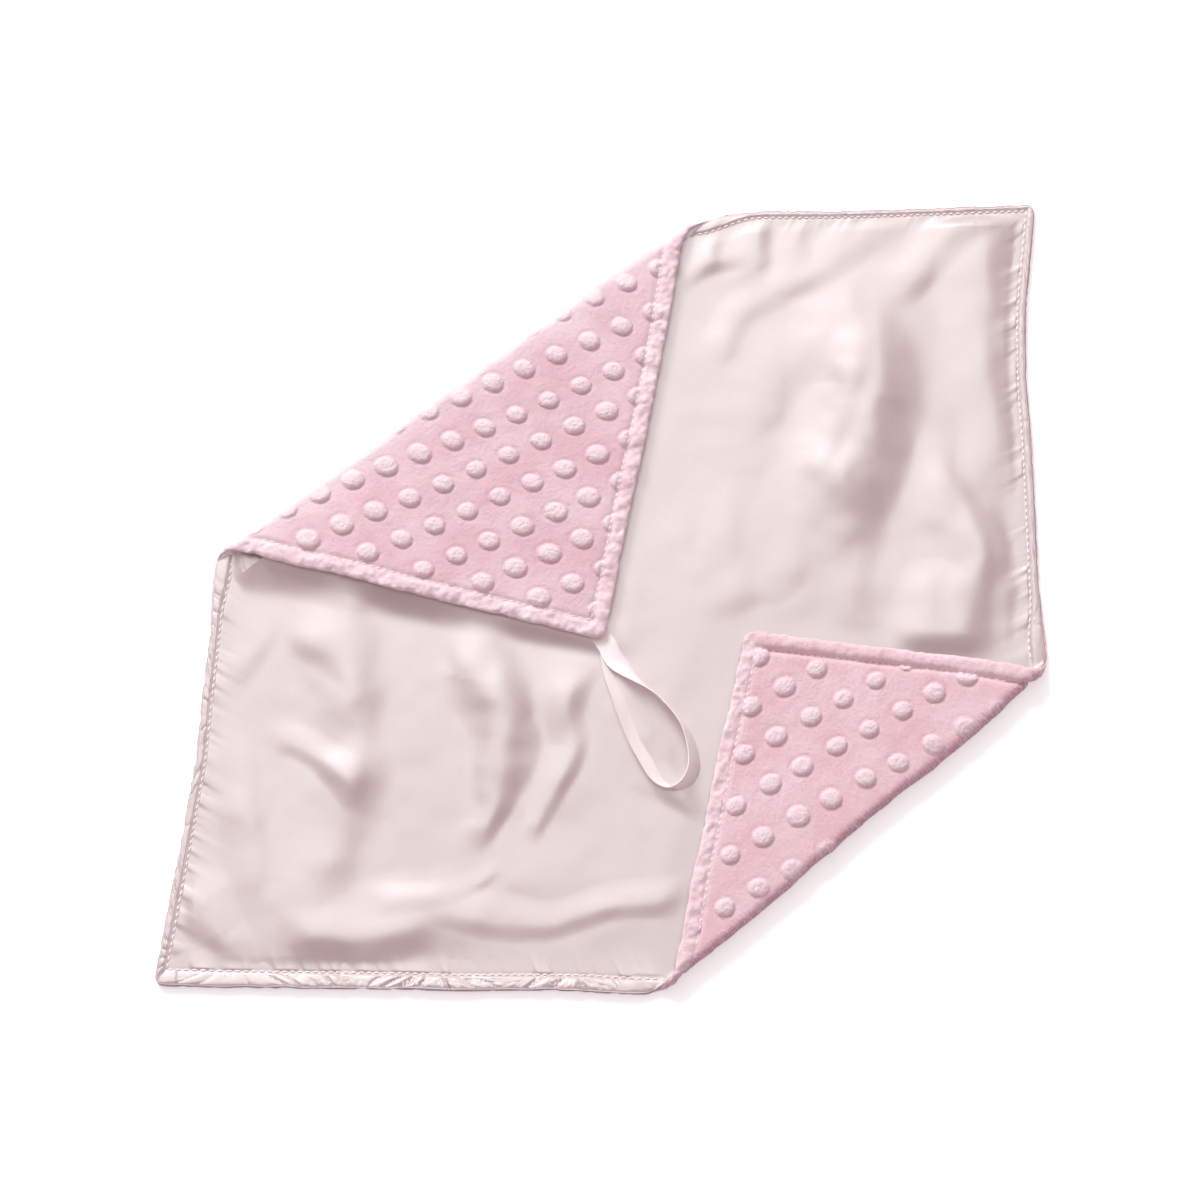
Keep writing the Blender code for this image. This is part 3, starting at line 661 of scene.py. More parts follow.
def cut_net(across, up, quads, measure, cuts):
    """Cuts a flat net along straight lines and returns its points' measures and its triangles.

    Each cut is a fold line, a depth, and which part stays: 'deeper', 'shallower' or 'both'.
    """
    flat = plan(*measure(across, up))
    keep = np.ones(len(quads), bool)
    for fold, depth, part in cuts:
        reach = (fold.depth(flat) - depth)[quads]
        if part == "deeper":
            keep &= reach.max(axis=1) > 0
        if part == "shallower":
            keep &= reach.min(axis=1) < 0
    used, compact = np.unique(quads[keep], return_inverse=True)
    mesh = bpy.data.meshes.new("flat")
    mesh.from_pydata(np.column_stack([flat[used], 0 * used]).tolist(), [], compact.reshape(-1, 4).tolist())
    per_point(mesh, "across", across[used])
    per_point(mesh, "up", up[used])
    work = bmesh.new()
    work.from_mesh(mesh)
    for fold, depth, part in cuts:
        at = fold.start + depth * fold.inward
        everything = work.verts[:] + work.edges[:] + work.faces[:]
        bmesh.ops.bisect_plane(
            work, geom=everything, dist=0.02 * MM, plane_co=(at[0], at[1], 0),
            plane_no=(fold.inward[0], fold.inward[1], 0),
            clear_inner=part == "deeper", clear_outer=part == "shallower",
        )
    bmesh.ops.triangulate(work, faces=work.faces[:])
    work.to_mesh(mesh)
    work.free()
    found = []
    for name in ("across", "up"):
        values = np.zeros(len(mesh.vertices), np.float32)
        mesh.attributes[name].data.foreach_get("value", values)
        found.append(values.astype(float))
    triangles = np.zeros(3 * len(mesh.polygons), np.int32)
    mesh.polygons.foreach_get("vertices", triangles)
    bpy.data.meshes.remove(mesh)
    return found[0], found[1], triangles.reshape(-1, 3)


# %% From arrays to an object
def object_from(name, points, triangles, material, sharp_degrees=50):
    """A mesh object from arrays, smooth but for edges sharper than the given angle."""
    mesh = bpy.data.meshes.new(name)
    mesh.vertices.add(len(points))
    mesh.vertices.foreach_set("co", points.astype(np.float32).ravel())
    mesh.loops.add(triangles.size)
    mesh.loops.foreach_set("vertex_index", triangles.astype(np.int32).ravel())
    mesh.polygons.add(len(triangles))
    mesh.polygons.foreach_set("loop_start", np.arange(0, triangles.size, 3, dtype=np.int32))
    mesh.update(calc_edges=True)
    mesh.validate()
    mesh.shade_smooth()
    mesh.set_sharp_from_angle(angle=math.radians(sharp_degrees))
    mesh.materials.append(material)
    made = bpy.data.objects.new(name, mesh)
    bpy.context.scene.collection.objects.link(made)
    return made


def cloth_map(mesh, across, up):
    """The cloth's own measures as the UV map, so that a pattern follows the cloth round a fold."""
    corners = np.zeros(len(mesh.loops), np.int32)
    mesh.loops.foreach_get("vertex_index", corners)
    layer = mesh.uv_layers.new(name="cloth")
    layer.data.foreach_set("uv", (np.stack([across, up], -1)[corners] / SIDE).astype(np.float32).ravel())


def face_normals(place, across, up):
    """The face's own normals: the cross product of its two slopes, taken by a short step inwards."""
    step_across = np.where(across < 0.5 * SIDE, 0.3 * MM, -0.3 * MM)
    step_up = np.where(up < 0.5 * SIDE, 0.3 * MM, -0.3 * MM)
    here = place(across, up)
    right = (place(across + step_across, up) - here) / step_across[:, None]
    away = (place(across, up + step_up) - here) / step_up[:, None]
    normals = np.cross(right, away)
    return normals / np.linalg.norm(normals, axis=1)[:, None]


def closed_cloth(name, across, up, triangles, first, second, material):
    """A thin closed body: the first face, the second face turned round, and a rim between them."""
    count = len(first)
    edges = np.concatenate([triangles[:, pair] for pair in ([0, 1], [1, 2], [2, 0])]).astype(np.int64)
    forward, backward = edges[:, 0] * count + edges[:, 1], edges[:, 1] * count + edges[:, 0]
    rim = edges[~np.isin(forward, backward)]
    i, j = rim[:, 0], rim[:, 1]
    walls = np.concatenate([np.stack([i, i + count, j + count], -1), np.stack([i, j + count, j], -1)])
    faces = np.concatenate([triangles, triangles[:, ::-1] + count, walls])
    made = object_from(name, np.concatenate([first, second]), faces, material)
    cloth_map(made.data, np.tile(across, 2), np.tile(up, 2))
    print(name, len(faces), "triangles")
    return made


# %% [markdown]
# ## Materials
#
# The plush is a matt pile: rough, with a soft sheen where it is seen edge on, deeper pink between the
# dots, and paler on the dots and where the pile is brushed up in the hem.  Painted shade darkens a thin
# ring round each dot's foot, and a painted sheen makes the pile paler near the loop corner's fold.
# Satin's long float threads mirror the room in the cloth's
# own colour, as metal does, so its shader is partly metallic: flat cloth mirrors the bright ceiling, and
# a slope mirrors the dim ring round it.  All patterns read the cloth's own map, so they bend with it.


# %% Small helpers for node trees
def set_inputs(made, values):
    """Sets a node's inputs: a socket is linked, anything else is a constant."""
    for key, value in values.items():
        if isinstance(value, bpy.types.NodeSocket):
            made.id_data.links.new(value, made.inputs[key])
        else:
            made.inputs[key].default_value = value


def node(tree, kind, values=None, **settings):
    """Adds a node, with its settings and its inputs."""
    made = tree.nodes.new(kind)
    for key, value in settings.items():
        setattr(made, key, value)
    set_inputs(made, values or {})
    return made


def new_material(name, values):
    """A material, its node tree, and its shader with the given constants."""
    material = bpy.data.materials.new(name)
    material.use_nodes = True
    shader = material.node_tree.nodes["Principled BSDF"]
    set_inputs(shader, values)
    return material, material.node_tree, shader


def noise(tree, where, size, detail=2.0, roughness=0.5):
    """A noise pattern of about that size in metres, on the cloth's map."""
    values = {"Vector": where, "Scale": SIDE / size, "Detail": detail, "Roughness": roughness}
    return node(tree, "ShaderNodeTexNoise", values).outputs["Fac"]


def long_noise(tree, where, kind="POINT", **mapping):
    """A noise pattern that is drawn out one way by a mapping of the cloth's map."""
    moved = node(tree, "ShaderNodeMapping", {"Vector": where, **mapping}, vector_type=kind)
    values = {"Vector": moved.outputs["Vector"], "Scale": 1.0, "Detail": 1.0}
    return node(tree, "ShaderNodeTexNoise", values).outputs["Fac"]


def ramp(tree, source, stops):
    """A colour ramp through (place, colour) stops; a single number is a grey."""
    made = node(tree, "ShaderNodeValToRGB", {"Fac": source})
    elements = made.color_ramp.elements
    while len(elements) < len(stops):
        elements.new(0.5)
    for element, (place, colour) in zip(elements, stops):
        element.position = place
        element.color = (*np.broadcast_to(colour, 3), 1.0)
    return made.outputs["Color"]


def mixed(tree, share, first, second, mode="MIX"):
    """Two colours mixed; the second is a socket or a plain colour."""
    if isinstance(second, tuple):
        second = (*second, 1.0)
    made = node(tree, "ShaderNodeMix", {0: share, 6: first, 7: second}, data_type="RGBA", blend_type=mode)
    return made.outputs[2]


def joined(tree, operation, first, second):
    """Two values joined by one operation."""
    return node(tree, "ShaderNodeMath", {0: first, 1: second}, operation=operation).outputs[0]


def bumped(tree, shader, height, distance, strength):
    """Puts a height pattern on a shader as bump."""
    made = node(tree, "ShaderNodeBump", {"Strength": strength, "Distance": distance, "Height": height})
    set_inputs(shader, {"Normal": made.outputs["Normal"]})


# %% Dimple plush
# the first pink is painted shade round the dots' feet and the parted pile over the plain fold; the second is
# the hem's crushed pile and a painted sheen near the loop fold
SHADE_AND_PARTED_PINK, CRUSHED_AND_SHEEN_PINK = (0.600, 0.330, 0.395), (0.870, 0.745, 0.765)


def plush_material(name, deep, pale, top):
    """Matt pile mottled between two pinks, paler on dots and hem, with painted shade round each dot and
    painted sheen by the loop fold.
    """
    material, tree, shader = new_material(name, {
        "Roughness": 0.92, "Specular IOR Level": 0.15, "Sheen Weight": 0.55, "Sheen Roughness": 0.45,
        "Sheen Tint": (1.0, 0.93, 0.95, 1.0),
    })
    where = node(tree, "ShaderNodeUVMap", uv_map="cloth").outputs["UV"]
    raised, parted, crushed = (
        node(tree, "ShaderNodeAttribute", attribute_name=share).outputs["Fac"]
        for share in ("raised", "parted", "crushed")
    )
    broad = noise(tree, where, 26 * MM)
    fine = noise(tree, where, 1.6 * MM, 3.0, 0.6)
    pile = noise(tree, where, 0.45 * MM, 2.0, 0.6)
    colour = mixed(tree, raised, ramp(tree, broad, ((0.34, deep), (0.66, pale))), top)
    # the pile parts at the foot of each dot, so the ground colour shows there as a thin deeper ring
    # painted shade: a thin deeper ring at the foot of each dot stands for the shade round it
    ring = joined(tree, "MULTIPLY", ramp(tree, raised, ((0.02, 0), (0.14, 1), (0.42, 0))), 0.35)
    colour = mixed(tree, ring, colour, SHADE_AND_PARTED_PINK)
    # over the plain corner's fold the pile parts in short ribs across the fold and shows its deep foot
    ribs = long_noise(tree, where, "TEXTURE", Rotation=(0, 0, math.radians(40)),
                      Scale=(0.9 * MM / SIDE, 6 * MM / SIDE, 1.0))
    showing = ramp(tree, ribs, ((0.38, 0.25), (0.62, 1)))
    colour = mixed(tree, joined(tree, "MULTIPLY", parted, showing), colour, SHADE_AND_PARTED_PINK)
    # paler where the hem's pile is crushed, and a painted sheen: paler pile near the loop corner's fold
    colour = mixed(tree, crushed, colour, CRUSHED_AND_SHEEN_PINK)
    tint = ramp(tree, fine, ((0.30, (0.93, 0.90, 0.91)), (0.62, 1)))
    set_inputs(shader, {"Base Color": mixed(tree, 0.6, colour, tint, "MULTIPLY")})
    rough = joined(tree, "ADD", joined(tree, "MULTIPLY", raised, 1.6), 1.0)
    height = joined(tree, "ADD", joined(tree, "MULTIPLY", fine, rough), joined(tree, "MULTIPLY", pile, 0.6))
    ridges = joined(tree, "MULTIPLY", joined(tree, "MULTIPLY", parted, 1.5), showing)
    bumped(tree, shader, joined(tree, "ADD", height, ridges), 0.45 * MM, 0.9)
    return material


LOOP_PLUSH, PLAIN_PLUSH, CENTRE_PLUSH = (plush_material("plush_" + body, *pinks) for body, *pinks in (
    ("loop_corner", (0.740, 0.510, 0.560), (0.795, 0.615, 0.650), (0.860, 0.735, 0.752)),
    ("plain_corner", (0.775, 0.530, 0.578), (0.815, 0.625, 0.662), (0.860, 0.720, 0.742)),
    ("centre", (0.720, 0.520, 0.560), (0.800, 0.630, 0.660), (0.800, 0.650, 0.680)),
))


# %% Satin and ribbon
def satin_material(name, light, shade, metal, roughness, weave):
    """Satin: a broad soft gloss, faint uneven colour, and the float threads as a fine bump."""
    material, tree, shader = new_material(name, {
        "Metallic": metal, "Roughness": roughness, "Sheen Weight": 0.10, "Sheen Roughness": 0.4,
    })
    where = node(tree, "ShaderNodeUVMap", uv_map="cloth").outputs["UV"]
    colour = ramp(tree, noise(tree, where, 40 * MM), ((0.3, shade), (0.7, light)))
    slub = ramp(tree, noise(tree, where, 2.5 * MM), ((0.3, (0.95, 0.93, 0.93)), (0.6, 1)))
    set_inputs(shader, {"Base Color": mixed(tree, 0.25, colour, slub, "MULTIPLY")})
    threads = long_noise(tree, where, Scale=(SIDE / weave, SIDE / (5 * weave), 1.0))
    bumped(tree, shader, threads, 0.03 * MM, 0.35)
    return material


SATIN = satin_material("satin", (0.835, 0.770, 0.758), (0.820, 0.745, 0.736), 0.66, 0.35, 0.22 * MM)
RIBBON = satin_material("ribbon", (0.960, 0.900, 0.890), (0.945, 0.875, 0.868), 0.05, 0.45, 0.20 * MM)
THREAD = new_material("thread", {
    "Base Color": (0.930, 0.850, 0.850, 1.0), "Roughness": 0.45, "Sheen Weight": 0.3,
})[0]
print("materials:", [material.name for material in bpy.data.materials])

# %% [markdown]
# ## The plush corners
#
# Each folded corner's plush is one piece with the strip of the middle that it is folded from.

# %% Make the two plush corners
HINGE_HEIGHT = FOLD_RADIUS
TURN_BAND = 0.12 * MM
# a point this near the fold line lies on it
ON_FOLD = 0.05 * MM
# how far into the middle the plush's and the satin's strips reach, and how far the satin's goes beyond
PLUSH_STRIP, SATIN_STRIP, SATIN_BEYOND = 20 * MM, 18 * MM, 25 * MM
FOLDS = {"loop_corner": LOOP_FOLD, "plain_corner": PLAIN_FOLD}


def plush_shell(name, across, up, triangles, material):
    """The plush as a closed cloth: its inner face looks up from the table, its outer face down."""
    outer, inner = plush_faces(across, up)
    shown = ragged(across, up)
    top, under = lay(*shown, inner, 0 * inner), lay(*shown, outer, 0 * outer)
    made = closed_cloth(name, across, up, triangles, top, under, material)
    inside, _, _, nearest = hem_measures(across, up)
    flat = plan(across, up)
    to_loop_fold, to_plain_fold = np.abs(LOOP_FOLD.depth(flat)), np.abs(PLAIN_FOLD.depth(flat))
    # painted sheen: the pile is painted paler near the loop corner's fold
    near_fold = 1 - soft_step((to_loop_fold - 2 * MM) / (20 * MM))
    near_fold = near_fold * (0.75 + 0.3 * bumps(across, up, 14 * MM, 48))
    patchy = 0.62 + 0.35 * bumps(across, up, 6 * MM, 46) + 0.25 * bumps(across, up, 2.5 * MM, 47)
    patchy = patchy * np.where(nearest == 1, 0.45, 1.0) * (1 - soft_step((inside - 5 * MM) / (6 * MM)))
    shares = {
        "raised": dot_share(across, up)[0],
        "parted": 1 - soft_step((to_plain_fold - 1 * MM) / (9 * MM)),
        # the hem's crushed pile, and the painted sheen near the loop corner's fold
        "crushed": np.clip(np.maximum(patchy, near_fold), 0, 1),
    }
    for share, values in shares.items():
        per_point(made.data, share, np.tile(values, 2))
    return made


def bend_over(piece, body):
    """Bakes the piece's placement into its mesh."""
    if body == "loop_corner":
        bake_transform(piece)
    else:
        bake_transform(piece)


for body, material in (("loop_corner", LOOP_PLUSH), ("plain_corner", PLAIN_PLUSH)):
    plush_rows, cuts = rows(0.85 * MM), [(FOLDS[body], PLUSH_STRIP, "shallower"), (FOLDS[body], 0, "both")]
    plush = plush_shell("dimple_" + body, *cut_net(*net(plush_rows, plush_rows), ragged, cuts), material)
    bend_over(plush, body)
    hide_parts("plush_" + body)

# %% [markdown]
# ## The middle
#
# The plush under the middle hardly shows, but its hem does: a soft rim round the satin.  Each hem is a
# narrow net of its own, fine enough for its pleats, that runs down one side, round the corner with a
# mitre, and along the next.


# %% A hem net round one corner, and a cloth's pieces in the middle
def hem_net(hem_rows, reach, step, upper):
    """Rows along two sides of the square that meet at a corner; the far pair is the same net turned."""
    count, wide = int(reach / step), len(hem_rows)
    share = np.linspace(0, 1, count + 1)
    depth = hem_rows[None, :]
    down = np.stack([np.broadcast_to(depth, (count, wide)), reach + (depth - reach) * share[:-1, None]])
    along = np.stack([depth + (reach - depth) * share[:, None], np.broadcast_to(depth, (count + 1, wide))])
    across, up = np.concatenate([down, along], axis=1).reshape(2, -1)
    low = (np.arange(2 * count)[:, None] * wide + np.arange(wide - 1)[None, :]).ravel()
    quads = np.stack([low, low + wide, low + wide + 1, low + 1], -1)
    if upper:
        across, up = SIDE - across, SIDE - up
    return across, up, quads


def middle_pieces(cloth, shell, strip, measure, field_rows, hem_rows, step):
    """The field and the two hems of one cloth, cut where its strips over the folds begin."""
    cuts = [(fold, strip, "deeper") for fold in FOLDS.values()]
    nets = {"_field": net(field_rows, field_rows)}
    for name, upper in (("_hem_near", False), ("_hem_far", True)):
        nets[name] = hem_net(hem_rows, 0.66 * SIDE, step, upper)
    made = [shell(cloth + name, *cut_net(*flat_net, measure, cuts)) for name, flat_net in nets.items()]
    for piece in made:
        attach(piece, "centre")
    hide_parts(cloth + "_centre")
    return made


# %% The plush of the middle
plush_rows, past_hem = np.linspace(12 * MM, SIDE - 12 * MM, 139), MM * np.array([9, 10.5, 12])


def centre_plush(*cut):
    """A piece of the plush under the middle."""
    return plush_shell(*cut, CENTRE_PLUSH)


plush_field, *plush_hems = middle_pieces(
    "plush", centre_plush, PLUSH_STRIP, ragged, plush_rows, np.concatenate([HEM_ROWS, past_hem]), 0.9 * MM)


# %% The satin of the middle
def satin_top(across, up):
    """The satin's outer face at measures of the cloth."""
    _, outer, lift = satin_faces(across, up)
    return lay(*drawn_in(across, up), outer, lift)


def satin_shell(name, across, up, triangles, over_fold=False):
    """The satin as a closed cloth, its outer face up in the middle."""
    inner, outer, lift = satin_faces(across, up)
    shown = drawn_in(across, up)
    top, bottom = lay(*shown, outer, lift), lay(*shown, inner, lift)
    if over_fold:
        # only the fold line's own points turn half way; the others keep clear of the hinge's height
        depth = fold_depth(plan(*shown))
        for face, least in ((top, 0.0), (bottom, 0.25 * MM)):
            low = HINGE_HEIGHT - TURN_BAND - SATIN_THICK + least
            high = HINGE_HEIGHT + TURN_BAND + least
            held = np.where(depth > 0, np.minimum(face[:, 2], low), np.maximum(face[:, 2], high))
            face[:, 2] = np.where(np.abs(depth) < ON_FOLD, HINGE_HEIGHT, held)
    return closed_cloth(name, across, up, triangles, top, bottom, SATIN)


def smooth_satin(name, across, up, triangles):
    """A piece of the middle's satin with exact normals, so its pieces join without a visible line."""
    made = satin_shell(name, across, up, triangles)
    normals = face_normals(satin_top, across, up)
    made.data.normals_split_custom_set_from_vertices(np.concatenate([normals, -normals]).tolist())
    return made


satin_rows = np.linspace(2 * STITCH_LINE, SIDE - 2 * STITCH_LINE, 207)
past_hem = MM * np.array([8.6, 9.3, 10.1, 11, 12, 13.2, 14.5, 16])
satin_field, *satin_hems = middle_pieces(
    "satin", smooth_satin, SATIN_STRIP, drawn_in, satin_rows, np.concatenate([HEM_ROWS, past_hem]), 0.8 * MM)

# %% [markdown]
# ## The satin over the folds
#
# Inside each fold the satin bends too.  A narrow strip crosses the hinge, and the rest of the corner's
# satin rides with the corner.  At rest it is hidden, and it shows when the corner is opened.

# %% The strips and the corners' satin
satin_corners = {}
for body, fold in FOLDS.items():
    strip_rows, rest_rows = rows(1.6 * MM), rows(2.2 * MM)
    cuts = [(fold, SATIN_STRIP, "shallower"), (fold, -SATIN_BEYOND, "deeper"), (fold, 0, "both")]
    strip_net = cut_net(*net(strip_rows, strip_rows), drawn_in, cuts)
    strip = satin_shell("satin_fold_" + body, *strip_net, over_fold=True)
    bend_over(strip, body)
    rest_net = cut_net(*net(rest_rows, rest_rows), drawn_in, [(fold, -SATIN_BEYOND, "shallower")])
    corner = satin_shell("satin_under_" + body, *rest_net)
    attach(corner, body)
    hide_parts("satin_" + body)
    satin_corners[body] = (corner, strip)

# %% [markdown]
# ## The ribbon
#
# The ribbon is one length of satin tape, 9.5 mm wide.  Its two ends lie flat on each other in the seam.
# Outside, the loop turns on edge and leans.  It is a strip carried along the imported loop's own route:
# its width direction turns from flat to leaning over the first 30 mm from the seam on one side, and over
# 35 mm on the other.  The first side leans and shows its inner face, the other stands nearly upright.

# %% The ribbon's route
RIBBON_WIDTH, RIBBON_THICK, RIBBON_GAP = 9.5 * MM, 0.3 * MM, 0.3 * MM
LOOP_STEPS, TAIL_STEPS = 241, 13
TAIL, ROOT_REACH, LOOP_REACH = 10 * MM, 7.8 * MM, 82 * MM
NEAR_TWIST, FAR_TWIST = 30 * MM, 35 * MM
LOOP_SHARES = (
    (0.000, 0.000), (0.020, -0.120), (0.068, -0.300), (0.142, -0.518), (0.218, -0.672), (0.295, -0.800),
    (0.385, -0.850), (0.468, -0.802), (0.503, -0.680), (0.452, -0.490), (0.312, -0.325), (0.142, -0.178),
    (0.042, -0.080), (0.000, 0.000),
)
# how far the strip stands up, in degrees from flat, at shares of the loop's length
LEAN_MARKS, LEAN_DEGREES = (0.0, 0.18, 0.42, 0.54, 0.64, 0.76, 0.90, 1.0), (28, 32, 36, 50, 62, 84, 88, 88)
to_left, to_top = LEFT_FOLD - LOOP_TIP, TOP_FOLD - LOOP_TIP
bisector = to_left / np.linalg.norm(to_left) + to_top / np.linalg.norm(to_top)
outward = -bisector / np.linalg.norm(bisector)
seam_side = np.array([outward[1], -outward[0]])
seam_place = LOOP_TIP + SHIFT - 0.5 * RIBBON_WIDTH * outward
bend_place = seam_place + (ROOT_REACH + 0.5 * RIBBON_GAP) * outward
upper_height = 2 * FOLD_RADIUS - 0.8 * MM - 3.0 * MM - RIBBON_GAP - 0.5 * RIBBON_THICK
lower_height = upper_height - RIBBON_THICK - RIBBON_GAP


def lengths(line):
    """How far along a line each of its points is."""
    return np.concatenate([[0], np.cumsum(np.linalg.norm(np.diff(line, axis=0), axis=1))])


def ribbon_route():
    """The middle line with its tails, and at each point the direction of its width."""
    loop = bend_place + 0.5 * RIBBON_GAP * outward + LOOP_REACH * np.array(LOOP_SHARES)
    loop = smooth_route(loop, LOOP_STEPS)
    travelled = lengths(loop)
    left = np.clip((travelled[-1] - travelled) / FAR_TWIST, 0, 1)
    turned = np.minimum(soft_step(travelled / NEAR_TWIST), 0.7 * left + 0.3 * soft_step(left))
    flat_side = np.array([*seam_side, 0.0])
    lean = np.radians(np.interp(travelled / travelled[-1], LEAN_MARKS, LEAN_DEGREES))
    lean_side = np.stack([-np.cos(lean), 0 * lean, np.sin(lean)], -1)
    side = flat_side * (1 - turned)[:, None] + lean_side * turned[:, None]
    side /= np.linalg.norm(side, axis=1)[:, None]
    resting = 2.9 * MM + 0.5 * RIBBON_WIDTH * side[:, 2]
    seam = np.where(np.arange(LOOP_STEPS) < LOOP_STEPS // 2, lower_height, upper_height)
    middle = np.column_stack([loop, seam + (resting - seam) * turned])
    back = seam_place - TAIL * outward
    tail = back + np.linspace(0, 1, TAIL_STEPS)[:, None] * (bend_place - back)
    lower = np.column_stack([tail, np.full(TAIL_STEPS, lower_height)])
    upper = np.column_stack([tail, np.full(TAIL_STEPS, upper_height)])
    flat_sides = np.tile(flat_side, (TAIL_STEPS, 1))
    return np.vstack([lower, middle[1:-1], upper[::-1]]), np.vstack([flat_sides, side[1:-1], flat_sides])


# %% The ribbon itself
def ribbon_piece():
    """A flat strip of nine points across, cupped a little, closed by its other face and its rims."""
    line, sides = ribbon_route()
    forward = np.gradient(line, axis=0)
    forward /= np.linalg.norm(forward, axis=1)[:, None]
    normal = np.cross(forward, sides)
    normal /= np.linalg.norm(normal, axis=1)[:, None]
    travelled = lengths(line)
    across = np.array([-0.5, -0.47, -0.42, -0.25, 0, 0.25, 0.42, 0.47, 0.5])
    selvedge = np.where(np.abs(across) > 0.44, 0.06 * MM, 0.0)
    free = soft_step(np.minimum(travelled, travelled[-1] - travelled) / (30 * MM))[:, None]
    cup = 0.35 * MM * (1 - (2 * across) ** 2)[None, :] * free
    wave = 0.25 * MM * bumps(travelled[:, None] + 0 * cup, across[None, :] * 20 * MM, 12 * MM, 61) * free
    middle = line[:, None, :] + across[None, :, None] * RIBBON_WIDTH * sides[:, None, :]
    middle = middle + (cup + wave)[..., None] * normal[:, None, :]
    half = (0.5 * RIBBON_THICK + selvedge)[None, :, None] * normal[:, None, :]
    strip_up, strip_across, quads = net(travelled, across * RIBBON_WIDTH)
    triangles = np.concatenate([quads[:, [0, 1, 2]], quads[:, [0, 2, 3]]])
    first, second = (middle + half).reshape(-1, 3), (middle - half).reshape(-1, 3)
    return closed_cloth("ribbon", strip_across, strip_up, triangles, first, second, RIBBON), travelled[-1]


ribbon, ribbon_length = ribbon_piece()
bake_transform(ribbon)
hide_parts("ribbon_loop", "ribbon_tail_upper", "ribbon_tail_lower")
print("ribbon", round(ribbon_length, 3), "m")

# %% [markdown]
# ## Stitches
#
# The topstitch holds the turned edge flat: one thread on each face, with a stitch every 3.4 mm.  Each
# stitch is a short swelling sausage whose ends dive into the cloth.  They could be a texture, but they
# are as thick as a pixel and stand out of the cloth, so they are real and stay with their own body.

# %% Stitch rows
STITCH_PITCH, STITCH_LONG, STITCH_THICK = 3.4 * MM, 2.5 * MM, 0.85 * MM


def stitch_places():
    """Both ends of every stitch round the square, as measures of the cloth."""
    count = int((SIDE - 2 * STITCH_LINE) / STITCH_PITCH)
    pitch = (SIDE - 2 * STITCH_LINE) / count
    low = STITCH_LINE + pitch * np.arange(count) + 0.5 * (pitch - STITCH_LONG)
    near, far = np.full(count, STITCH_LINE), np.full(count, SIDE - STITCH_LINE)
    return (
        np.concatenate([[end, near], [end, far], [near, end], [far, end]], axis=1)
        for end in (low, low + STITCH_LONG)
    )


# shares of a stitch's length, and at each its thickness and its rise, as shares of the thread's
STITCH_SHARES, STITCH_SWELL = np.array([[0.0, 0.12, 0.5, 0.88, 1.0], [0.45, 0.85, 1.0, 0.85, 0.45]])
STITCH_RISE = np.array([-0.45, 0.25, 0.55, 0.25, -0.45])


def sausage_pattern(rings, around):
    """The triangles of one stitch: bands between its rings, and a fan at each end."""
    found, steps = [], [(k, (k + 1) % around) for k in range(around)]
    count = rings * around
    last_ring = count - around
    for first in range(0, last_ring, around):
        for k, following in steps:
            a, b = first + k, first + following
            found += [(a, b, b + around), (a, b + around, a + around)]
    for k, following in steps:
        found += [(count, following, k), (count + 1, last_ring + k, last_ring + following)]
    return np.array(found)


def stitches(name, body, keep, faces):
    """Sausages along the given stitches: five rings of six points, and a point at each end."""
    first, last = stitch_places()
    chosen = keep(plan(*(0.5 * (first + last))))
    begin, finish = first[:, chosen, None], last[:, chosen, None]
    across, up = (begin + (finish - begin) * STITCH_SHARES).reshape(2, -1)
    upward = np.array([0.0, 0.0, 1.0])
    turn = np.linspace(0, 2 * math.pi, 7)[:-1, None]
    points, count = [], np.count_nonzero(chosen)
    for face, sign, sink in faces:
        line = face(across, up).reshape(count, 5, 3)
        line[:, :, 2] += sign * (STITCH_THICK * 0.5 * STITCH_RISE - sink)
        wide = np.cross(line[:, -1] - line[:, 0], upward)
        wide = (wide / np.linalg.norm(wide, axis=1)[:, None])[:, None, None, :]
        ring = np.cos(turn) * wide + np.sin(turn) * upward
        rings = line[:, :, None, :] + 0.5 * STITCH_THICK * STITCH_SWELL[:, None, None] * ring
        points.append(np.concatenate([rings.reshape(count, 30, 3), line[:, [0, -1]]], 1).reshape(-1, 3))
    total = count * len(faces)
    triangles = (sausage_pattern(5, 6) + 32 * np.arange(total)[:, None, None]).reshape(-1, 3)
    made = object_from(name, np.concatenate(points), triangles, THREAD, 80)
    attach(made, body)
    print(name, total, "stitches")
    return made


def plush_back(across, up):
    """The plush's outer face at measures of the cloth."""
    return lay(across, up, plush_faces(across, up)[0], 0 * across)


CLEAR_OF_FOLD = 9 * MM
centre_stitches = stitches(
    "stitches_centre", "centre", lambda flat: fold_depth(flat) > CLEAR_OF_FOLD,
    [(satin_top, 1, 0), (plush_back, 1, 0)])
for body, fold in FOLDS.items():
    stitches(
        "stitches_" + body, body, lambda flat: fold.depth(flat) < -CLEAR_OF_FOLD,
        [(satin_top, -1, 0), (plush_back, 1, 0.22 * MM)])

# %% [markdown]
#
# The middle is the whole 400 mm square less its two corners, and the corners are right-angled triangles;
# their cut sizes are listed below.

CORNER_CUTS = {"loop_corner": (0.190, 0.217), "plain_corner": (0.160, 0.171)}
# the middle's strip lengthens a plush corner's sides; slanting ends and the hem add to a satin corner's area
for body, (wide, long) in CORNER_CUTS.items():
    corner, strip = satin_corners[body]

# %% [markdown]
# ## Floor, light and camera
#
# The photograph is a product shot from above, 14 degrees off straight down, on pure white.  A lamp stands
# behind, a little to the left, for the shadows; only the plush shows it, because satin would mirror it as
# a spot.  The satin mirrors the room instead: a bright ceiling, a small window behind, a dim ring round
# them, and pale walls low down.  The floor keeps the shadow and adds light of its own for the camera and
# in mirrors only, which makes it white without lighting the blanket.

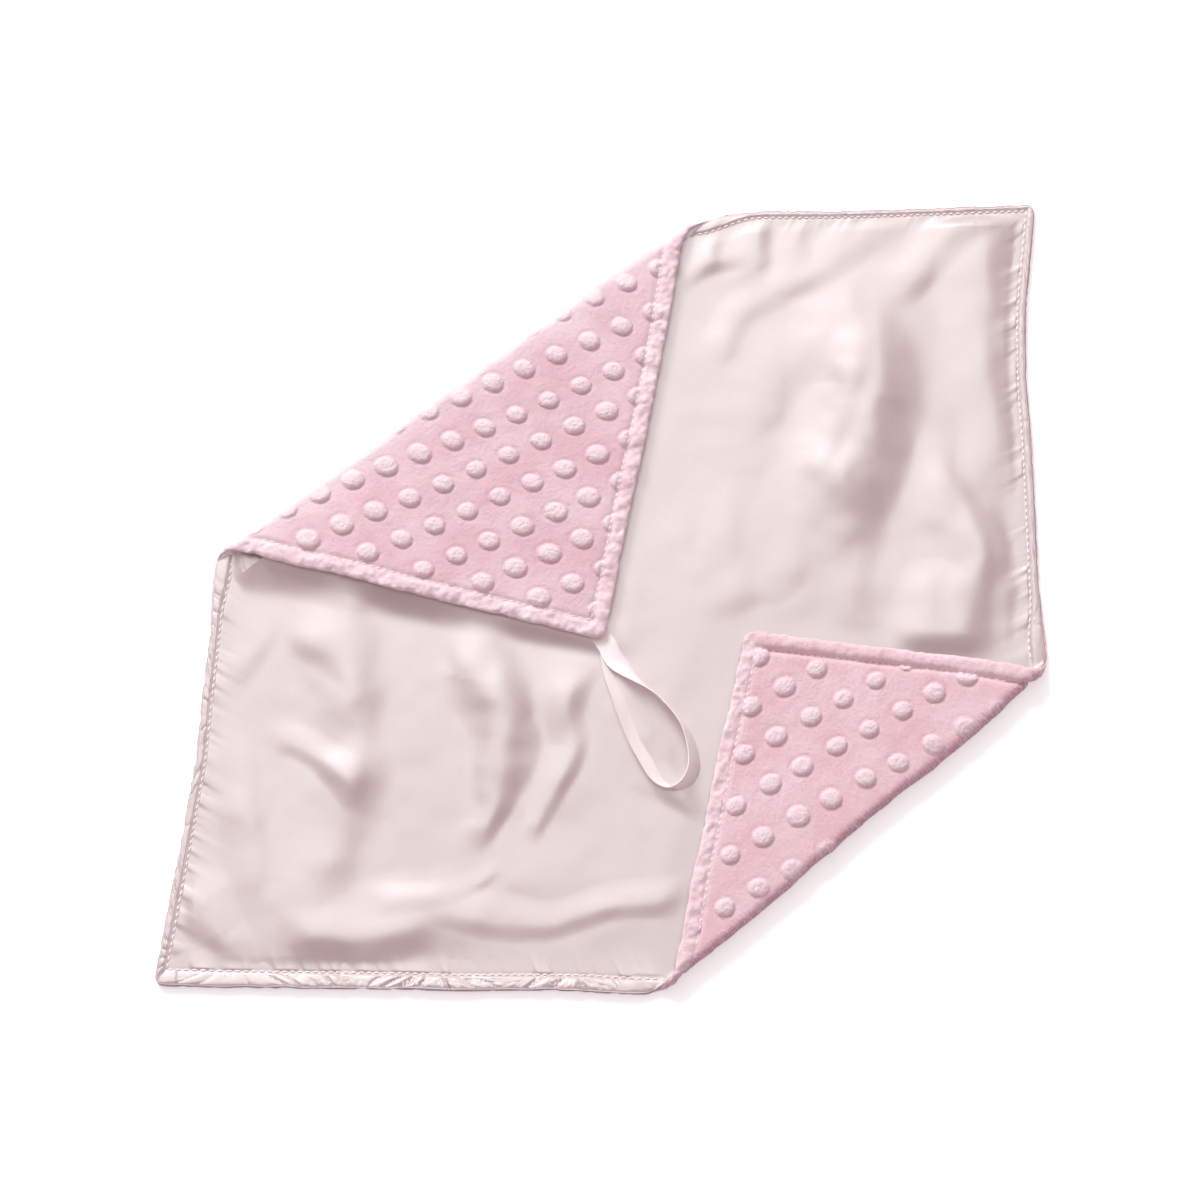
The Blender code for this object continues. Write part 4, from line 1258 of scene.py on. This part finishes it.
# %% Floor
FLOOR_SIZE, FLOOR_LEVEL = 8.0, -0.2 * MM
floor_mesh = bpy.data.meshes.new("floor")
ends = (-0.5 * FLOOR_SIZE, 0.5 * FLOOR_SIZE)
floor_mesh.from_pydata([(x, y, FLOOR_LEVEL) for y in ends for x in ends], [], [(0, 1, 3, 2)])
floor = bpy.data.objects.new("floor", floor_mesh)
bpy.context.scene.collection.objects.link(floor)
floor_material, floor_tree, floor_shader = new_material("floor", {
    "Base Color": (0.74, 0.74, 0.74, 1.0), "Roughness": 1.0, "Specular IOR Level": 0.0,
    "Emission Color": (1.0, 1.0, 1.0, 1.0),
})
rays = node(floor_tree, "ShaderNodeLightPath").outputs
seen = joined(floor_tree, "MAXIMUM", rays["Is Camera Ray"], rays["Is Glossy Ray"])
set_inputs(floor_shader, {"Emission Strength": joined(floor_tree, "MULTIPLY", seen, 0.46)})
floor_mesh.materials.append(floor_material)

# %% World and lamp
world = bpy.data.worlds.new("studio")
bpy.context.scene.world = world
world.use_nodes = True
tree = world.node_tree


def light_patch(centre, outer, inner, beyond, within):
    """Brightness by direction: from one value past an outer angle to another within an inner angle."""
    directions = {0: node(tree, "ShaderNodeTexCoord").outputs["Generated"], 1: Vector(centre).normalized()}
    toward = node(tree, "ShaderNodeVectorMath", directions, operation="DOT_PRODUCT")
    return node(tree, "ShaderNodeMapRange", {
        "Value": toward.outputs["Value"], "To Min": beyond, "To Max": within,
        "From Min": math.cos(math.radians(outer)), "From Max": math.cos(math.radians(inner)),
    }, interpolation_type="SMOOTHSTEP").outputs["Result"]


ceiling = light_patch((-0.12, 0.45, 0.88), 38, 18, 0.30, 1.13)
walls = light_patch((0, 0, 1), 60, 43.95, 0.50, 0.0)
window = light_patch((-0.25, 0.72, 0.65), 22, 8, 0.0, 0.8)
glow = joined(tree, "ADD", ceiling, walls)
backdrop = tree.nodes["Background"]
set_inputs(backdrop, {
    "Strength": joined(tree, "ADD", glow, window),
    "Color": ramp(tree, glow, ((0.30, (1.0, 0.62, 0.70)), (1.0, (1.0, 0.985, 0.99)))),
})
white = node(tree, "ShaderNodeBackground", {"Color": (1, 1, 1, 1), "Strength": 1.0})
seen = node(tree, "ShaderNodeLightPath").outputs["Is Camera Ray"]
either = node(tree, "ShaderNodeMixShader", {0: seen, 1: backdrop.outputs[0], 2: white.outputs[0]})
set_inputs(tree.nodes["World Output"], {"Surface": either.outputs[0]})

key = bpy.data.lights.new("key", "AREA")
key.energy, key.size = 103.0, 0.9
lamp = bpy.data.objects.new("key", key)
bpy.context.scene.collection.objects.link(lamp)
lamp.location = (-1.35, 2.7, 1.95)
lamp.rotation_euler = (-lamp.location).to_track_quat("-Z", "Y").to_euler()
lamp.visible_glossy = False
print("world and lamp:", world.name, lamp.name)

# %% Camera
LOOK_AT = Vector((SHIFT[0] - 3 * MM, SHIFT[1] - 6 * MM, 0.0))
DISTANCE, ELEVATION = 1.45, math.radians(76)
PICTURE_PIXELS, PIXEL, SENSOR_WIDTH = 1200, 0.49 * MM, 36.0
camera_data = bpy.data.cameras.new("camera")
camera_data.sensor_width = SENSOR_WIDTH
camera_data.lens = SENSOR_WIDTH * DISTANCE / (PICTURE_PIXELS * PIXEL)
camera = bpy.data.objects.new("camera", camera_data)
bpy.context.scene.collection.objects.link(camera)
back = Vector((0, -math.cos(ELEVATION), math.sin(ELEVATION)))
camera.location = LOOK_AT + DISTANCE * back
camera.rotation_euler = (-back).to_track_quat("-Z", "Y").to_euler()
bpy.context.scene.camera = camera
bpy.context.scene.view_settings.view_transform = "Standard"
print("camera looks at", tuple(round(value, 4) for value in LOOK_AT), "lens", round(camera_data.lens, 1))
